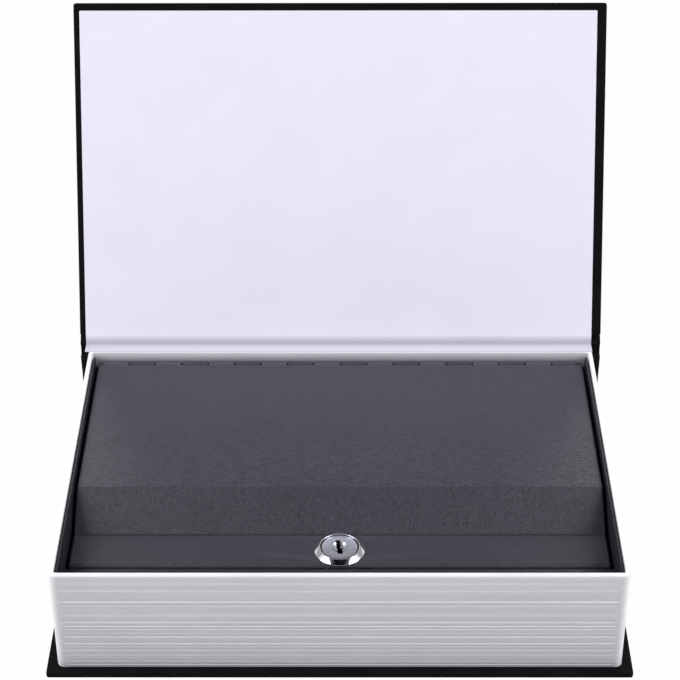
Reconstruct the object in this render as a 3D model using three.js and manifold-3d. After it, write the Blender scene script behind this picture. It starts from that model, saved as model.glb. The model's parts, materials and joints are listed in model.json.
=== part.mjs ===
// Book diversion safe: a hardcover book case around a moulded page block that hides a hinged steel box.
// Millimetres, +Z up, +X to the right, -Y towards the fore-edge and the person who opens the book.
// The origin is the centre of the back cover's underside. The front cover stands open, the lid is shut.
import * as THREE from "three";
import { mergeVertices } from "three/addons/utils/BufferGeometryUtils.js";
import Module from "manifold-3d";

const wasm = await Module();
wasm.setup();

// Closed book
const BOOK_LENGTH = 240;
const BOOK_DEPTH = 166;
const BOOK_THICKNESS = 54.75;

// Case boards and their covering
const BOARD_THICKNESS = 1.8;
const WRAP_THICKNESS = 0.3;
const PAPER_THICKNESS = 0.2;
const GLUE_GAP = 0.05;
const TURN_IN = 14;
const BOARD_CORNER_RADIUS = 0.8;
const JOINT_WIDTH = 14.6;
const PAPER_MARGIN_LEFT = 2.7;
const PAPER_MARGIN_RIGHT = 4.3;
const PAPER_MARGIN_FORE = 3.4;
const PAPER_HINGE_OVERLAP = 2.2;
const SPINE_BULGE = 0.8;
const SPINE_TOP_SETBACK = 8.25;
const SPINE_FOOT = 5.5;
const SHOULDER_RADIUS = 6.1;
const GROOVE_DEPTH = 1.6;
const GROOVE_WIDTH = 6.5;

// Cover hinge
const COVER_OPENING = 115.6;
const COVER_AXIS_FROM_SPINE = 6.1;
const COVER_AXIS_BELOW_COVER = 2.6;
const CLOSED_COVER_GAP = 0.15;
const CREASE_BEHIND_AXIS = 5;
const SHOULDER_END = THREE.MathUtils.degToRad(27);

// Moulded page block
const HEAD_OVERHANG = 4.3;
const FORE_OVERHANG = 3.9;
const SPINE_ZONE = 6;
const BLOCK_WALL = 2;
const BLOCK_REAR_WALL = 1.5;
const BLOCK_FLANGE_WIDTH = 14;
const BLOCK_FLANGE_THICKNESS = 1.6;
const BLOCK_CORNER_RADIUS = 3;
const BLOCK_REAR_CORNER_RADIUS = 1;
const RIM_ROUND = 1.1;
const RIM_INNER_ROUND = 0.4;
const PAGE_EDGE_SLOPE = 0.35;
const PAGE_STEP = 0.38;
// How far below the rim each moulded step between two gatherings of pages lies
const PAGE_EDGES = [6.4, 8.2, 12, 13.8, 15.6, 20, 21.5, 25.4, 28.6, 31, 33.4, 36.4, 38.4, 41.2, 43.4, 46.4, 47.8];

// Steel box
const SHEET = 1;
const BEND_RADIUS = 1.1;
const WALL_EDGE_INSET = 0.2;
const BOX_SIDE_GAP = 0.6;
const BOX_FRONT_GAP = 0.4;
const BOX_SEAT_GAP = 0.05;
const BOX_WALL_BELOW_RIM = 0.8;
const LEDGE_WIDTH = 17.9;
const LEDGE_LIP_DROP = 11.7;
const REST_TAB_LENGTH = 4;
const REST_TAB_WIDTH = 15;
const REST_TAB_X = 68;

// Lid
const LID_BELOW_RIM = 3.45;
const SHELF_BELOW_RIM = 13.3;
const LID_SIDE_GAP = 0.6;
const LID_FRONT_GAP = 1;
const SHELF_DEPTH = 20.4;
const RISER_RUN = 18.65;
const LID_FLANGE_DEPTH = 6;
const LID_FRONT_FLANGE_DEPTH = 4;
const LID_REST_GAP = 0.3;

// Piano hinge
const KNUCKLE_RADIUS = 1.5;
const KNUCKLE_BORE_RADIUS = 0.92;
const KNUCKLE_COUNT = 18;
const KNUCKLE_GAP = 0.4;
const HINGE_LENGTH = 218;
const HINGE_CLEARANCE = 0.3;
const PIN_RADIUS = 0.83;
const LEAF_THICKNESS = 0.7;
const LEAF_HEIGHT = 12;
const LEAF_GAP = 0.15;

// Cam lock
const BEZEL_RADIUS = 10.1;
const LOCK_SEAT_GAP = 0.05;
const BEZEL_FACE_RADIUS = 8.45;
const BEZEL_EDGE = 0.5;
const BEZEL_HEIGHT = 2.3;
const LOCK_BODY_RADIUS = 8.8;
const LOCK_BODY_FLATS = 15.2;
const LOCK_BODY_LENGTH = 10.6;
const LOCK_HOLE_CLEARANCE = 0.15;
const PLUG_HEAD_RADIUS = 7.4;
const PLUG_HEAD_THICKNESS = 1.4;
const PLUG_HEAD_INSET = 0.15;
const PLUG_RADIUS = 6;
const PLUG_CLEARANCE = 0.08;
const DISH_RADIUS = 3.4;
const DISH_DEPTH = 0.9;
const KEYWAY_WIDTH = 1.6;
const KEYWAY_HEIGHT = 8.6;
const KEYWAY_WARD = 0.45;
const TAIL_SIZE = 6;
const WAFER_COUNT = 5;
const WAFER_PITCH = 1.6;
const WAFER_THICKNESS = 1;
const WAFER_WIDTH = 5;
const WAFER_LENGTH = 11.2;
const WAFER_CLEARANCE = 0.15;
const WAFER_WINDOW_WIDTH = 2.6;
const WAFER_WINDOW_LENGTH = 7.2;
const WAFER_CUT_STEP = 0.3;
const WAFER_TRAVEL = 0.8;
const NUT_ACROSS_FLATS = 20;
const NUT_RELIEF = 1.5;
const NUT_THICKNESS = 3;
const LOCK_WASHER_RADIUS = 10.2;
const LOCK_WASHER_THICKNESS = 0.7;
const STOP_WASHER_THICKNESS = 1;
const STOP_TAB_RADIUS = 8.6;
const STOP_TAB_WIDTH = 3;
const STOP_LUG_HEIGHT = 1;
const CAM_THICKNESS = 1.5;
const CAM_REACH = 20;
const CAM_WIDTH = 12;
const CAM_TIP_WIDTH = 8;
const CAM_CLEARANCE = 0.15;
const CAM_SCREW_RADIUS = 1.7;
const CAM_SCREW_HEAD_RADIUS = 4;
const CAM_SCREW_HEAD = 1.6;
const CAM_SCREW_DEPTH = 5;
const CAM_SCREW_CLEARANCE = 0.1;

// Rivets that hold the steel box in the page block
const RIVET_INSET = 8.8;
const RIVET_RADIUS = 1.45;
const RIVET_HEAD_RADIUS = 3;
const RIVET_HEAD_HEIGHT = 1;
const RIVET_TAIL_RADIUS = 2.3;
const RIVET_TAIL_HEIGHT = 0.5;
const RIVET_CLEARANCE = 0.2;

// Resolution of round forms
const ROUND_SIDES = 48;
const SMALL_SIDES = 24;
const KNUCKLE_SIDES = 16;
const BEND_STEPS = 3;

// Places that several pieces share
const foreY = -BOOK_DEPTH / 2;
const spineY = BOOK_DEPTH / 2;
const halfLength = BOOK_LENGTH / 2;
const wrappedBoard = 2 * (WRAP_THICKNESS + GLUE_GAP) + BOARD_THICKNESS;
const coverThickness = wrappedBoard + GLUE_GAP + PAPER_THICKNESS;
const rimZ = BOOK_THICKNESS - coverThickness - CLOSED_COVER_GAP;
const boardReach = BOOK_DEPTH - JOINT_WIDTH;
const coverAxisY = spineY - COVER_AXIS_FROM_SPINE;
const coverAxisZ = BOOK_THICKNESS - coverThickness - COVER_AXIS_BELOW_COVER;

const blockHalf = halfLength - HEAD_OVERHANG;
const blockFrontY = foreY + FORE_OVERHANG;
const blockRearY = spineY - SPINE_ZONE;
const blockFloorZ = wrappedBoard;
const blockFlangeZ = blockFloorZ + BLOCK_FLANGE_THICKNESS;

const boxHalf = blockHalf - BLOCK_WALL - BOX_SIDE_GAP;
const boxFloorZ = blockFlangeZ + BOX_SEAT_GAP;
const boxFrontY = blockFrontY + BLOCK_WALL + BOX_FRONT_GAP;
const leafRearY = blockRearY - BLOCK_REAR_WALL - 2 * BOX_FRONT_GAP - 0.05;
const boxRearY = leafRearY - LEAF_THICKNESS - LEAF_GAP;
const boxTopZ = rimZ - BOX_WALL_BELOW_RIM;
const ledgeRearY = boxFrontY + LEDGE_WIDTH;

const lidHalf = boxHalf - SHEET - LID_SIDE_GAP;
const lidTopZ = rimZ - LID_BELOW_RIM;
const shelfZ = rimZ - SHELF_BELOW_RIM;
const lidFrontY = ledgeRearY + LID_FRONT_GAP;
const shelfRearY = lidFrontY + SHELF_DEPTH;
const riserRearY = shelfRearY + RISER_RUN;
const lidAxisY = leafRearY - KNUCKLE_RADIUS;
const lidAxisZ = lidTopZ - KNUCKLE_RADIUS;
const lidPlateRearY = lidAxisY - KNUCKLE_RADIUS - HINGE_CLEARANCE;
const barrelFootZ = lidAxisZ - KNUCKLE_RADIUS - HINGE_CLEARANCE;

const lockY = lidFrontY + SHELF_DEPTH / 2;
const plugTopZ = BEZEL_HEIGHT - PLUG_HEAD_INSET;
const plugEndZ = -LOCK_BODY_LENGTH;
const stopWasherZ = plugEndZ - CAM_CLEARANCE - STOP_WASHER_THICKNESS;
const camZ = stopWasherZ - CAM_CLEARANCE - CAM_THICKNESS;
const tailEndZ = camZ + CAM_CLEARANCE;

// Materials
function finish(color, roughness, metalness) {
  return new THREE.MeshStandardMaterial({ color, roughness, metalness });
}

const leatherette = () => finish("#1b1a1d", 0.72, 0);
const greyboard = () => finish("#8c857a", 0.9, 0);
const endpaper = () => finish("#e3e2ee", 0.85, 0);
const whitePlastic = () => finish("#e9e8ec", 0.45, 0);
const powderCoat = () => finish("#4d4b55", 0.6, 0.1);
const zincSteel = () => finish("#a9abb0", 0.4, 1);
const chrome = () => finish("#d8dade", 0.12, 1);
const satinChrome = () => finish("#b9bbbf", 0.3, 1);
const brass = () => finish("#b99a55", 0.35, 1);

// Solids from three.js geometry
function solid(geometry) {
  const bare = geometry.index ? geometry.toNonIndexed() : geometry.clone();
  bare.deleteAttribute("normal");
  bare.deleteAttribute("uv");
  const merged = mergeVertices(bare, 1e-4);
  return new wasm.Manifold(
    new wasm.Mesh({
      numProp: 3,
      vertProperties: merged.attributes.position.array,
      triVerts: new Uint32Array(merged.index.array),
    }),
  );
}

function join(parts) {
  return parts.reduce((whole, part) => whole.add(part));
}

function cut(body, tools) {
  return tools.reduce((rest, tool) => rest.subtract(tool), body);
}

function piece(name, body, material) {
  const made = body.getMesh();
  const geometry = new THREE.BufferGeometry();
  geometry.setAttribute("position", new THREE.BufferAttribute(new Float32Array(made.vertProperties), 3));
  geometry.setIndex(new THREE.BufferAttribute(new Uint32Array(made.triVerts), 1));
  const faceted = geometry.toNonIndexed();
  faceted.computeVertexNormals();
  const mesh = new THREE.Mesh(faceted, material);
  mesh.name = name;
  return mesh;
}

function block(lowX, highX, lowY, highY, lowZ, highZ) {
  const geometry = new THREE.BoxGeometry(highX - lowX, highY - lowY, highZ - lowZ);
  geometry.translate((lowX + highX) / 2, (lowY + highY) / 2, (lowZ + highZ) / 2);
  return solid(geometry);
}

function rod(radius, lowZ, highZ, sides = SMALL_SIDES, x = 0, y = 0) {
  const geometry = new THREE.CylinderGeometry(radius, radius, highZ - lowZ, sides);
  geometry.rotateX(Math.PI / 2);
  geometry.rotateZ(Math.PI / sides);
  geometry.translate(x, y, (lowZ + highZ) / 2);
  return solid(geometry);
}

// A closed profile of [radius, height] pairs turned round the Z axis
function turned(profile, sides = ROUND_SIDES) {
  const geometry = new THREE.LatheGeometry(profile.map(([r, z]) => new THREE.Vector2(r, z)), sides);
  geometry.rotateX(Math.PI / 2);
  return solid(geometry);
}

// A shape drawn in X and Y, raised between two heights
function raised(shape, lowZ, highZ, y = 0) {
  const geometry = new THREE.ExtrudeGeometry(shape, { depth: highZ - lowZ, bevelEnabled: false, curveSegments: 12 });
  geometry.translate(0, y, lowZ);
  return solid(geometry);
}

// A section drawn in Y and Z, run along X between two places
function along(shape, lowX, highX, curveSegments = 12) {
  const geometry = new THREE.ExtrudeGeometry(shape, { depth: highX - lowX, bevelEnabled: false, curveSegments });
  const turn = new THREE.Matrix4().makeBasis(
    new THREE.Vector3(0, 1, 0),
    new THREE.Vector3(0, 0, 1),
    new THREE.Vector3(1, 0, 0),
  );
  geometry.applyMatrix4(turn);
  geometry.translate(lowX, 0, 0);
  return solid(geometry);
}

function outline(points) {
  return new THREE.Shape(points.map(([a, b]) => new THREE.Vector2(a, b)));
}

// A centre line with each corner rounded to the bend radius, or to the corner's own third value
function bentLine(corners, bendRadius, steps = BEND_STEPS) {
  const points = corners.map(([a, b]) => new THREE.Vector2(a, b));
  const line = [points[0]];
  for (let i = 1; i < points.length - 1; i += 1) {
    const before = points[i - 1].clone().sub(points[i]);
    const after = points[i + 1].clone().sub(points[i]);
    const half = Math.acos(before.dot(after) / (before.length() * after.length())) / 2;
    const radius = corners[i][2] ?? bendRadius;
    const setback = Math.min(radius / Math.tan(half), 0.45 * before.length(), 0.45 * after.length());
    const start = points[i].clone().addScaledVector(before.normalize(), setback);
    const end = points[i].clone().addScaledVector(after.normalize(), setback);
    const bend = new THREE.QuadraticBezierCurve(start, points[i], end);
    line.push(...bend.getPoints(steps));
  }
  line.push(points[points.length - 1]);
  return line;
}

// The section of a sheet of one thickness that follows a centre line
function sheetSection(line, thickness) {
  const left = [];
  const right = [];
  for (let i = 0; i < line.length; i += 1) {
    const from = line[Math.max(i - 1, 0)];
    const to = line[Math.min(i + 1, line.length - 1)];
    const into = line[i].clone().sub(from).normalize();
    const out = to.clone().sub(line[i]).normalize();
    const heading = into.add(out).normalize();
    const normal = new THREE.Vector2(-heading.y, heading.x);
    const leaving = i === 0 || i === line.length - 1 ? heading : to.clone().sub(line[i]).normalize();
    const stretch = 1 / Math.max(0.5, Math.abs(heading.dot(leaving)));
    left.push(line[i].clone().addScaledVector(normal, (thickness / 2) * stretch));
    right.push(line[i].clone().addScaledVector(normal, (-thickness / 2) * stretch));
  }
  return new THREE.Shape([...left, ...right.reverse()]);
}

function roundedRectangle(lowX, highX, lowY, highY, radius) {
  const shape = new THREE.Shape();
  shape.moveTo(lowX + radius, lowY);
  shape.lineTo(highX - radius, lowY);
  shape.absarc(highX - radius, lowY + radius, radius, -Math.PI / 2, 0, false);
  shape.lineTo(highX, highY - radius);
  shape.absarc(highX - radius, highY - radius, radius, 0, Math.PI / 2, false);
  shape.lineTo(lowX + radius, highY);
  shape.absarc(lowX + radius, highY - radius, radius, Math.PI / 2, Math.PI, false);
  shape.lineTo(lowX, lowY + radius);
  shape.absarc(lowX + radius, lowY + radius, radius, Math.PI, 1.5 * Math.PI, false);
  return shape;
}

// Case: each cover is drawn with its outer face down and its fore-edge at y = 0
const boardInset = WRAP_THICKNESS + GLUE_GAP;

function coverBoard() {
  return block(
    -halfLength + boardInset, halfLength - boardInset,
    boardInset, boardReach,
    boardInset, boardInset + BOARD_THICKNESS,
  );
}

function coverWrap() {
  const shape = roundedRectangle(-halfLength, halfLength, 0, boardReach, BOARD_CORNER_RADIUS);
  const skin = new THREE.ExtrudeGeometry(shape, {
    depth: wrappedBoard - 2 * WRAP_THICKNESS,
    bevelThickness: WRAP_THICKNESS,
    bevelSize: WRAP_THICKNESS,
    bevelOffset: -WRAP_THICKNESS,
    bevelSegments: 2,
    curveSegments: 4,
  });
  skin.translate(0, 0, WRAP_THICKNESS);
  const hollow = block(
    -halfLength + WRAP_THICKNESS, halfLength - WRAP_THICKNESS,
    WRAP_THICKNESS, boardReach + 1,
    WRAP_THICKNESS, wrappedBoard - WRAP_THICKNESS,
  );
  const window = block(
    -halfLength + TURN_IN, halfLength - TURN_IN,
    TURN_IN, boardReach + 1,
    WRAP_THICKNESS, wrappedBoard + 1,
  );
  return cut(solid(skin), [hollow, window]);
}

function coverEndpaper() {
  return block(
    -halfLength + PAPER_MARGIN_RIGHT, halfLength - PAPER_MARGIN_LEFT,
    PAPER_MARGIN_FORE, boardReach - PAPER_HINGE_OVERLAP,
    coverThickness - PAPER_THICKNESS, coverThickness,
  );
}

// Spine: a shallow arc from foot to top, outerGap inwards from the outermost surface
const spineTopZ = BOOK_THICKNESS - SPINE_TOP_SETBACK;

function spineArc(outerGap, lowZ, highZ, steps = 10) {
  const middle = BOOK_THICKNESS / 2;
  const reach = spineTopZ - middle;
  const points = [];
  for (let i = 0; i <= steps; i += 1) {
    const z = lowZ + ((highZ - lowZ) * i) / steps;
    points.push(new THREE.Vector2(spineY - outerGap - SPINE_BULGE * ((z - middle) / reach) ** 2, z));
  }
  return points;
}

function spineBoard() {
  const line = spineArc(boardInset + BOARD_THICKNESS / 2, SPINE_FOOT, spineTopZ);
  return along(sheetSection(line, BOARD_THICKNESS), -halfLength + boardInset, halfLength - boardInset);
}

function spineWrap() {
  const half = WRAP_THICKNESS / 2;
  const boardEdgeY = foreY + boardReach + GLUE_GAP;
  const rise = spineArc(half, SPINE_FOOT, spineTopZ);
  const footY = rise[0].x;
  const groove = [
    [boardEdgeY, half],
    [boardEdgeY + 0.15 * GROOVE_WIDTH, half],
    [boardEdgeY + 0.4 * GROOVE_WIDTH, GROOVE_DEPTH],
    [boardEdgeY + 0.6 * GROOVE_WIDTH, GROOVE_DEPTH],
    [boardEdgeY + GROOVE_WIDTH, half],
    [footY, half, SHOULDER_RADIUS],
    [footY, SPINE_FOOT],
  ];
  const skin = [...bentLine(groove, 0.8, 3), ...rise.slice(1)];
  const outer = along(sheetSection(skin, WRAP_THICKNESS), -halfLength, halfLength);
  const liningLine = spineArc(2 * boardInset + BOARD_THICKNESS - half, SPINE_FOOT, spineTopZ);
  const lining = sheetSection(liningLine, WRAP_THICKNESS);
  const capLine = spineArc(boardInset + BOARD_THICKNESS / 2, SPINE_FOOT, spineTopZ);
  const cap = sheetSection(capLine, BOARD_THICKNESS + 2 * GLUE_GAP + WRAP_THICKNESS);
  const turns = [-1, 1].flatMap((side) => {
    const outerX = side * halfLength;
    const capX = outerX - side * WRAP_THICKNESS;
    const innerX = outerX - side * TURN_IN;
    return [
      along(lining, Math.min(outerX, innerX), Math.max(outerX, innerX)),
      along(cap, Math.min(outerX, capX), Math.max(outerX, capX)),
    ];
  });
  return join([outer, ...turns]);
}

// Places on the standing cover: reach along the cover from its hinge, lift from the hinge line
const opening = THREE.MathUtils.degToRad(COVER_OPENING);

function onCover(reach, lift) {
  return [
    coverAxisY - reach * Math.cos(opening) + lift * Math.sin(opening),
    coverAxisZ + reach * Math.sin(opening) + lift * Math.cos(opening),
  ];
}

const coverEdgeReach = coverAxisY - foreY - boardReach;

// The cloth rises from the spine as a round shoulder about the hinge line, then follows the board's edge
function jointCloth() {
  const half = WRAP_THICKNESS / 2;
  const steps = 5;
  const foot = new THREE.Vector2(spineArc(half, SPINE_FOOT, spineTopZ).at(-1).x, spineTopZ + GLUE_GAP + half);
  const startAngle = Math.atan2(foot.y - coverAxisZ, foot.x - coverAxisY);
  const startRadius = Math.hypot(foot.x - coverAxisY, foot.y - coverAxisZ);
  const line = [];
  for (let i = 0; i <= steps; i += 1) {
    const share = i / steps;
    const angle = startAngle + (SHOULDER_END - startAngle) * share;
    const radius = startRadius + (SHOULDER_RADIUS - startRadius) * share;
    line.push(new THREE.Vector2(coverAxisY + radius * Math.cos(angle), coverAxisZ + radius * Math.sin(angle)));
  }
  const outerLift = COVER_AXIS_BELOW_COVER + coverThickness - half;
  line.push(new THREE.Vector2(...onCover(coverEdgeReach - GLUE_GAP, outerLift)));
  return along(sheetSection(line, WRAP_THICKNESS), -halfLength, halfLength);
}

// The paper runs back from the block's rim to a crease, then up to the cover's endpaper
function jointPaper() {
  const half = PAPER_THICKNESS / 2;
  const seatZ = rimZ + GLUE_GAP + half;
  const line = bentLine([
    [blockRearY - BLOCK_REAR_WALL + RIM_INNER_ROUND, seatZ],
    [coverAxisY + CREASE_BEHIND_AXIS, seatZ],
    onCover(coverEdgeReach, COVER_AXIS_BELOW_COVER + half),
    onCover(coverEdgeReach + PAPER_HINGE_OVERLAP - GLUE_GAP, COVER_AXIS_BELOW_COVER + half),
  ], 0.5);
  const section = sheetSection(line, PAPER_THICKNESS);
  return along(section, -halfLength + PAPER_MARGIN_LEFT, halfLength - PAPER_MARGIN_RIGHT);
}

// Page block: one ring of points per level, up the outside, over the rim and down the inside
function blockRing(inset, rearInset, z) {
  const lowX = -blockHalf + inset;
  const highX = blockHalf - inset;
  const lowY = blockFrontY + inset;
  const highY = blockRearY - rearInset;
  const front = Math.max(BLOCK_CORNER_RADIUS - inset, 0.4);
  const rear = Math.max(BLOCK_REAR_CORNER_RADIUS - rearInset, 0.3);
  const ring = [];
  const corner = (x, y, radius, startAngle, steps) => {
    for (let i = 0; i <= steps; i += 1) {
      const angle = startAngle + ((Math.PI / 2) * i) / steps;
      ring.push([x + radius * Math.cos(angle), y + radius * Math.sin(angle), z]);
    }
  };
  corner(highX - front, lowY + front, front, -Math.PI / 2, 4);
  corner(highX - rear, highY - rear, rear, 0, 2);
  corner(lowX + rear, highY - rear, rear, Math.PI / 2, 2);
  corner(lowX + front, lowY + front, front, Math.PI, 4);
  return ring;
}

function loftedLoop(rings) {
  const corners = [];
  const count = rings[0].length;
  rings.forEach((lower, k) => {
    const upper = rings[(k + 1) % rings.length];
    for (let i = 0; i < count; i += 1) {
      const next = (i + 1) % count;
      corners.push(...lower[i], ...lower[next], ...upper[next]);
      corners.push(...lower[i], ...upper[next], ...upper[i]);
    }
  });
  const geometry = new THREE.BufferGeometry();
  geometry.setAttribute("position", new THREE.BufferAttribute(new Float32Array(corners), 3));
  return solid(geometry);
}

function pageBlock() {
  const rivetRecessZ = blockFloorZ + GLUE_GAP + RIVET_TAIL_HEIGHT + RIVET_CLEARANCE / 2;
  const rings = [blockRing(0, 0, blockFloorZ)];
  [...PAGE_EDGES].reverse().forEach((drop, i) => {
    const z = rimZ - drop;
    const lower = i % 2 === 0 ? 0 : PAGE_STEP;
    rings.push(blockRing(lower, 0, z - PAGE_EDGE_SLOPE / 2));
    rings.push(blockRing(PAGE_STEP - lower, 0, z + PAGE_EDGE_SLOPE / 2));
  });
  rings.push(blockRing(PAGE_STEP, 0, rimZ - PAGE_EDGES[0] / 2 - PAGE_EDGE_SLOPE));
  rings.push(blockRing(0, 0, rimZ - PAGE_EDGES[0] / 2));
  for (let i = 0; i <= 3; i += 1) {
    const angle = ((Math.PI / 2) * i) / 3;
    const inset = RIM_ROUND * (1 - Math.cos(angle));
    rings.push(blockRing(inset, inset / 2, rimZ - RIM_ROUND * (1 - Math.sin(angle))));
  }
  const innerTop = rimZ - RIM_INNER_ROUND;
  rings.push(blockRing(BLOCK_WALL - RIM_INNER_ROUND, BLOCK_REAR_WALL - RIM_INNER_ROUND, rimZ));
  rings.push(blockRing(BLOCK_WALL, BLOCK_REAR_WALL, innerTop));
  rings.push(blockRing(BLOCK_WALL, BLOCK_REAR_WALL, blockFlangeZ));
  rings.push(blockRing(BLOCK_FLANGE_WIDTH, BLOCK_FLANGE_WIDTH, blockFlangeZ));
  rings.push(blockRing(BLOCK_FLANGE_WIDTH, BLOCK_FLANGE_WIDTH, blockFloorZ));
  const holes = rivetPlaces().flatMap(([x, y]) => [
    rod(RIVET_RADIUS + RIVET_CLEARANCE, blockFloorZ - 1, blockFlangeZ + 1, 16, x, y),
    rod(RIVET_TAIL_RADIUS + RIVET_CLEARANCE, blockFloorZ - 1, rivetRecessZ, 16, x, y),
  ]);
  return cut(loftedLoop(rings), holes);
}

// Rivets
function rivetPlaces() {
  const x = blockHalf - RIVET_INSET;
  return [
    [-x, blockFrontY + RIVET_INSET],
    [x, blockFrontY + RIVET_INSET],
    [-x, blockRearY - RIVET_INSET],
    [x, blockRearY - RIVET_INSET],
  ];
}

function rivet() {
  const tail = blockFloorZ + GLUE_GAP;
  const seat = boxFloorZ + SHEET + GLUE_GAP;
  return turned([
    [0, tail],
    [RIVET_TAIL_RADIUS, tail],
    [RIVET_TAIL_RADIUS, tail + RIVET_TAIL_HEIGHT],
    [RIVET_RADIUS, tail + RIVET_TAIL_HEIGHT],
    [RIVET_RADIUS, seat],
    [RIVET_HEAD_RADIUS, seat],
    [RIVET_HEAD_RADIUS * 0.85, seat + RIVET_HEAD_HEIGHT * 0.6],
    [RIVET_HEAD_RADIUS * 0.45, seat + RIVET_HEAD_HEIGHT],
    [0, seat + RIVET_HEAD_HEIGHT],
  ], 16);
}

// Steel box: one folded sheet from the ledge's lip round to the back wall, and two side walls
function steelBox() {
  const half = SHEET / 2;
  const folded = bentLine([
    [ledgeRearY - half, shelfZ - LEDGE_LIP_DROP],
    [ledgeRearY - half, shelfZ - half],
    [boxFrontY + half, shelfZ - half],
    [boxFrontY + half, boxFloorZ + half],
    [boxRearY - half, boxFloorZ + half],
    [boxRearY - half, barrelFootZ],
  ], BEND_RADIUS);
  const body = along(sheetSection(folded, SHEET), -boxHalf + half, boxHalf - half);
  const wall = outline([
    [boxFrontY + WALL_EDGE_INSET, boxTopZ],
    [boxFrontY + WALL_EDGE_INSET, boxFloorZ + BEND_RADIUS],
    [boxFrontY + BEND_RADIUS, boxFloorZ + WALL_EDGE_INSET],
    [boxRearY - BEND_RADIUS, boxFloorZ + WALL_EDGE_INSET],
    [boxRearY - WALL_EDGE_INSET, boxFloorZ + BEND_RADIUS],
    [boxRearY - WALL_EDGE_INSET, boxTopZ],
  ]);
  const walls = [
    along(wall, -boxHalf, -boxHalf + SHEET, 4),
    along(wall, boxHalf - SHEET, boxHalf, 4),
  ];
  const restZ = shelfZ - SHEET / 2 - LID_FRONT_FLANGE_DEPTH - LID_REST_GAP;
  const tabs = [-1, 1].map((side) => block(
    side * REST_TAB_X - REST_TAB_WIDTH / 2, side * REST_TAB_X + REST_TAB_WIDTH / 2,
    ledgeRearY - SHEET, ledgeRearY + REST_TAB_LENGTH,
    restZ - SHEET, restZ,
  ));
  const holes = rivetPlaces().map(([x, y]) =>
    rod(RIVET_RADIUS + RIVET_CLEARANCE, boxFloorZ - 1, boxFloorZ + 2 * SHEET, 16, x, y));
  return cut(join([body, ...walls, ...tabs]), holes);
}

// Piano hinge: knuckles share one barrel and alternate between the lid and the box leaf
const knucklePitch = HINGE_LENGTH / KNUCKLE_COUNT;

function knuckle(index, tongue) {
  const ring = new THREE.Shape();
  ring.absarc(lidAxisY, lidAxisZ, KNUCKLE_RADIUS, 0, 2 * Math.PI, false);
  const bore = new THREE.Shape();
  bore.absarc(lidAxisY, lidAxisZ, KNUCKLE_BORE_RADIUS, 0, 2 * Math.PI, false);
  const start = -HINGE_LENGTH / 2 + index * knucklePitch + KNUCKLE_GAP / 2;
  const end = start + knucklePitch - KNUCKLE_GAP;
  const outer = along(ring, start, end, KNUCKLE_SIDES / 2);
  const through = along(bore, start - 1, end + 1, KNUCKLE_SIDES / 2);
  return outer.add(along(tongue, start, end)).subtract(through);
}

function knuckleRow(first, tongue) {
  const row = [];
  for (let i = first; i < KNUCKLE_COUNT; i += 2) row.push(knuckle(i, tongue));
  return row;
}

function hingeLeaf() {
  const tongue = outline([
    [leafRearY - LEAF_THICKNESS, barrelFootZ - 1],
    [leafRearY, barrelFootZ - 1],
    [leafRearY, lidAxisZ],
    [leafRearY - LEAF_THICKNESS * 0.5, lidAxisZ],
    [leafRearY - LEAF_THICKNESS, lidAxisZ - KNUCKLE_RADIUS],
  ]);
  const plate = block(
    -HINGE_LENGTH / 2, HINGE_LENGTH / 2,
    leafRearY - LEAF_THICKNESS, leafRearY,
    barrelFootZ - LEAF_HEIGHT, barrelFootZ - 0.1,
  );
  return join([plate, ...knuckleRow(1, tongue)]);
}

function hingePin() {
  const pin = new THREE.CylinderGeometry(PIN_RADIUS, PIN_RADIUS, HINGE_LENGTH + 0.6, KNUCKLE_SIDES);
  pin.rotateZ(Math.PI / 2);
  pin.translate(0, lidAxisY, lidAxisZ);
  return solid(pin);
}

// Lid: a stepped sheet with down-turned edges, rolled round the pin at the back
function lidLine() {
  const half = SHEET / 2;
  return [
    [lidPlateRearY, lidTopZ - half],
    [riserRearY, lidTopZ - half],
    [shelfRearY, shelfZ - half],
    [lidFrontY + half, shelfZ - half],
  ];
}

function lidPanel() {
  const half = SHEET / 2;
  const front = [lidFrontY + half, shelfZ - half - LID_FRONT_FLANGE_DEPTH];
  const sheet = along(sheetSection(bentLine([...lidLine(), front], BEND_RADIUS), SHEET), -lidHalf, lidHalf);
  const upper = lidLine().map(([y, z], i) => [i === 0 ? y - 1.5 : y, z]);
  const lower = upper.map(([y, z]) => [y, z - LID_FLANGE_DEPTH]).reverse();
  const edge = outline([...upper, ...lower]);
  const flanges = [
    along(edge, -lidHalf, -lidHalf + SHEET),
    along(edge, lidHalf - SHEET, lidHalf),
  ];
  const tongue = outline([
    [lidPlateRearY - 1, lidTopZ - SHEET],
    [lidAxisY - 1, lidTopZ - SHEET],
    [lidAxisY, lidTopZ - SHEET * 0.55],
    [lidAxisY, lidTopZ],
    [lidPlateRearY - 1, lidTopZ],
  ]);
  const hole = lockSection(LOCK_BODY_RADIUS + LOCK_HOLE_CLEARANCE, LOCK_BODY_FLATS / 2 + LOCK_HOLE_CLEARANCE);
  const lockHole = raised(hole, shelfZ - 3 * SHEET, shelfZ + SHEET, lockY);
  const relief = NUT_ACROSS_FLATS / Math.sqrt(3) + NUT_RELIEF;
  const nutRelief = block(-relief, relief, lidFrontY - 1, lidFrontY + 2 * SHEET, shelfZ - 20, shelfZ - SHEET);
  return cut(join([sheet, ...flanges, ...knuckleRow(0, tongue)]), [lockHole, nutRelief]);
}

// Cam lock: drawn round its own axis, with z = 0 on the shelf
function lockSection(radius, flat) {
  const angle = Math.acos(flat / radius);
  const shape = new THREE.Shape();
  shape.moveTo(flat, radius * Math.sin(angle));
  shape.absarc(0, 0, radius, angle, Math.PI - angle, false);
  shape.lineTo(-flat, -radius * Math.sin(angle));
  shape.absarc(0, 0, radius, Math.PI + angle, 2 * Math.PI - angle, false);
  return shape;
}

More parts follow.
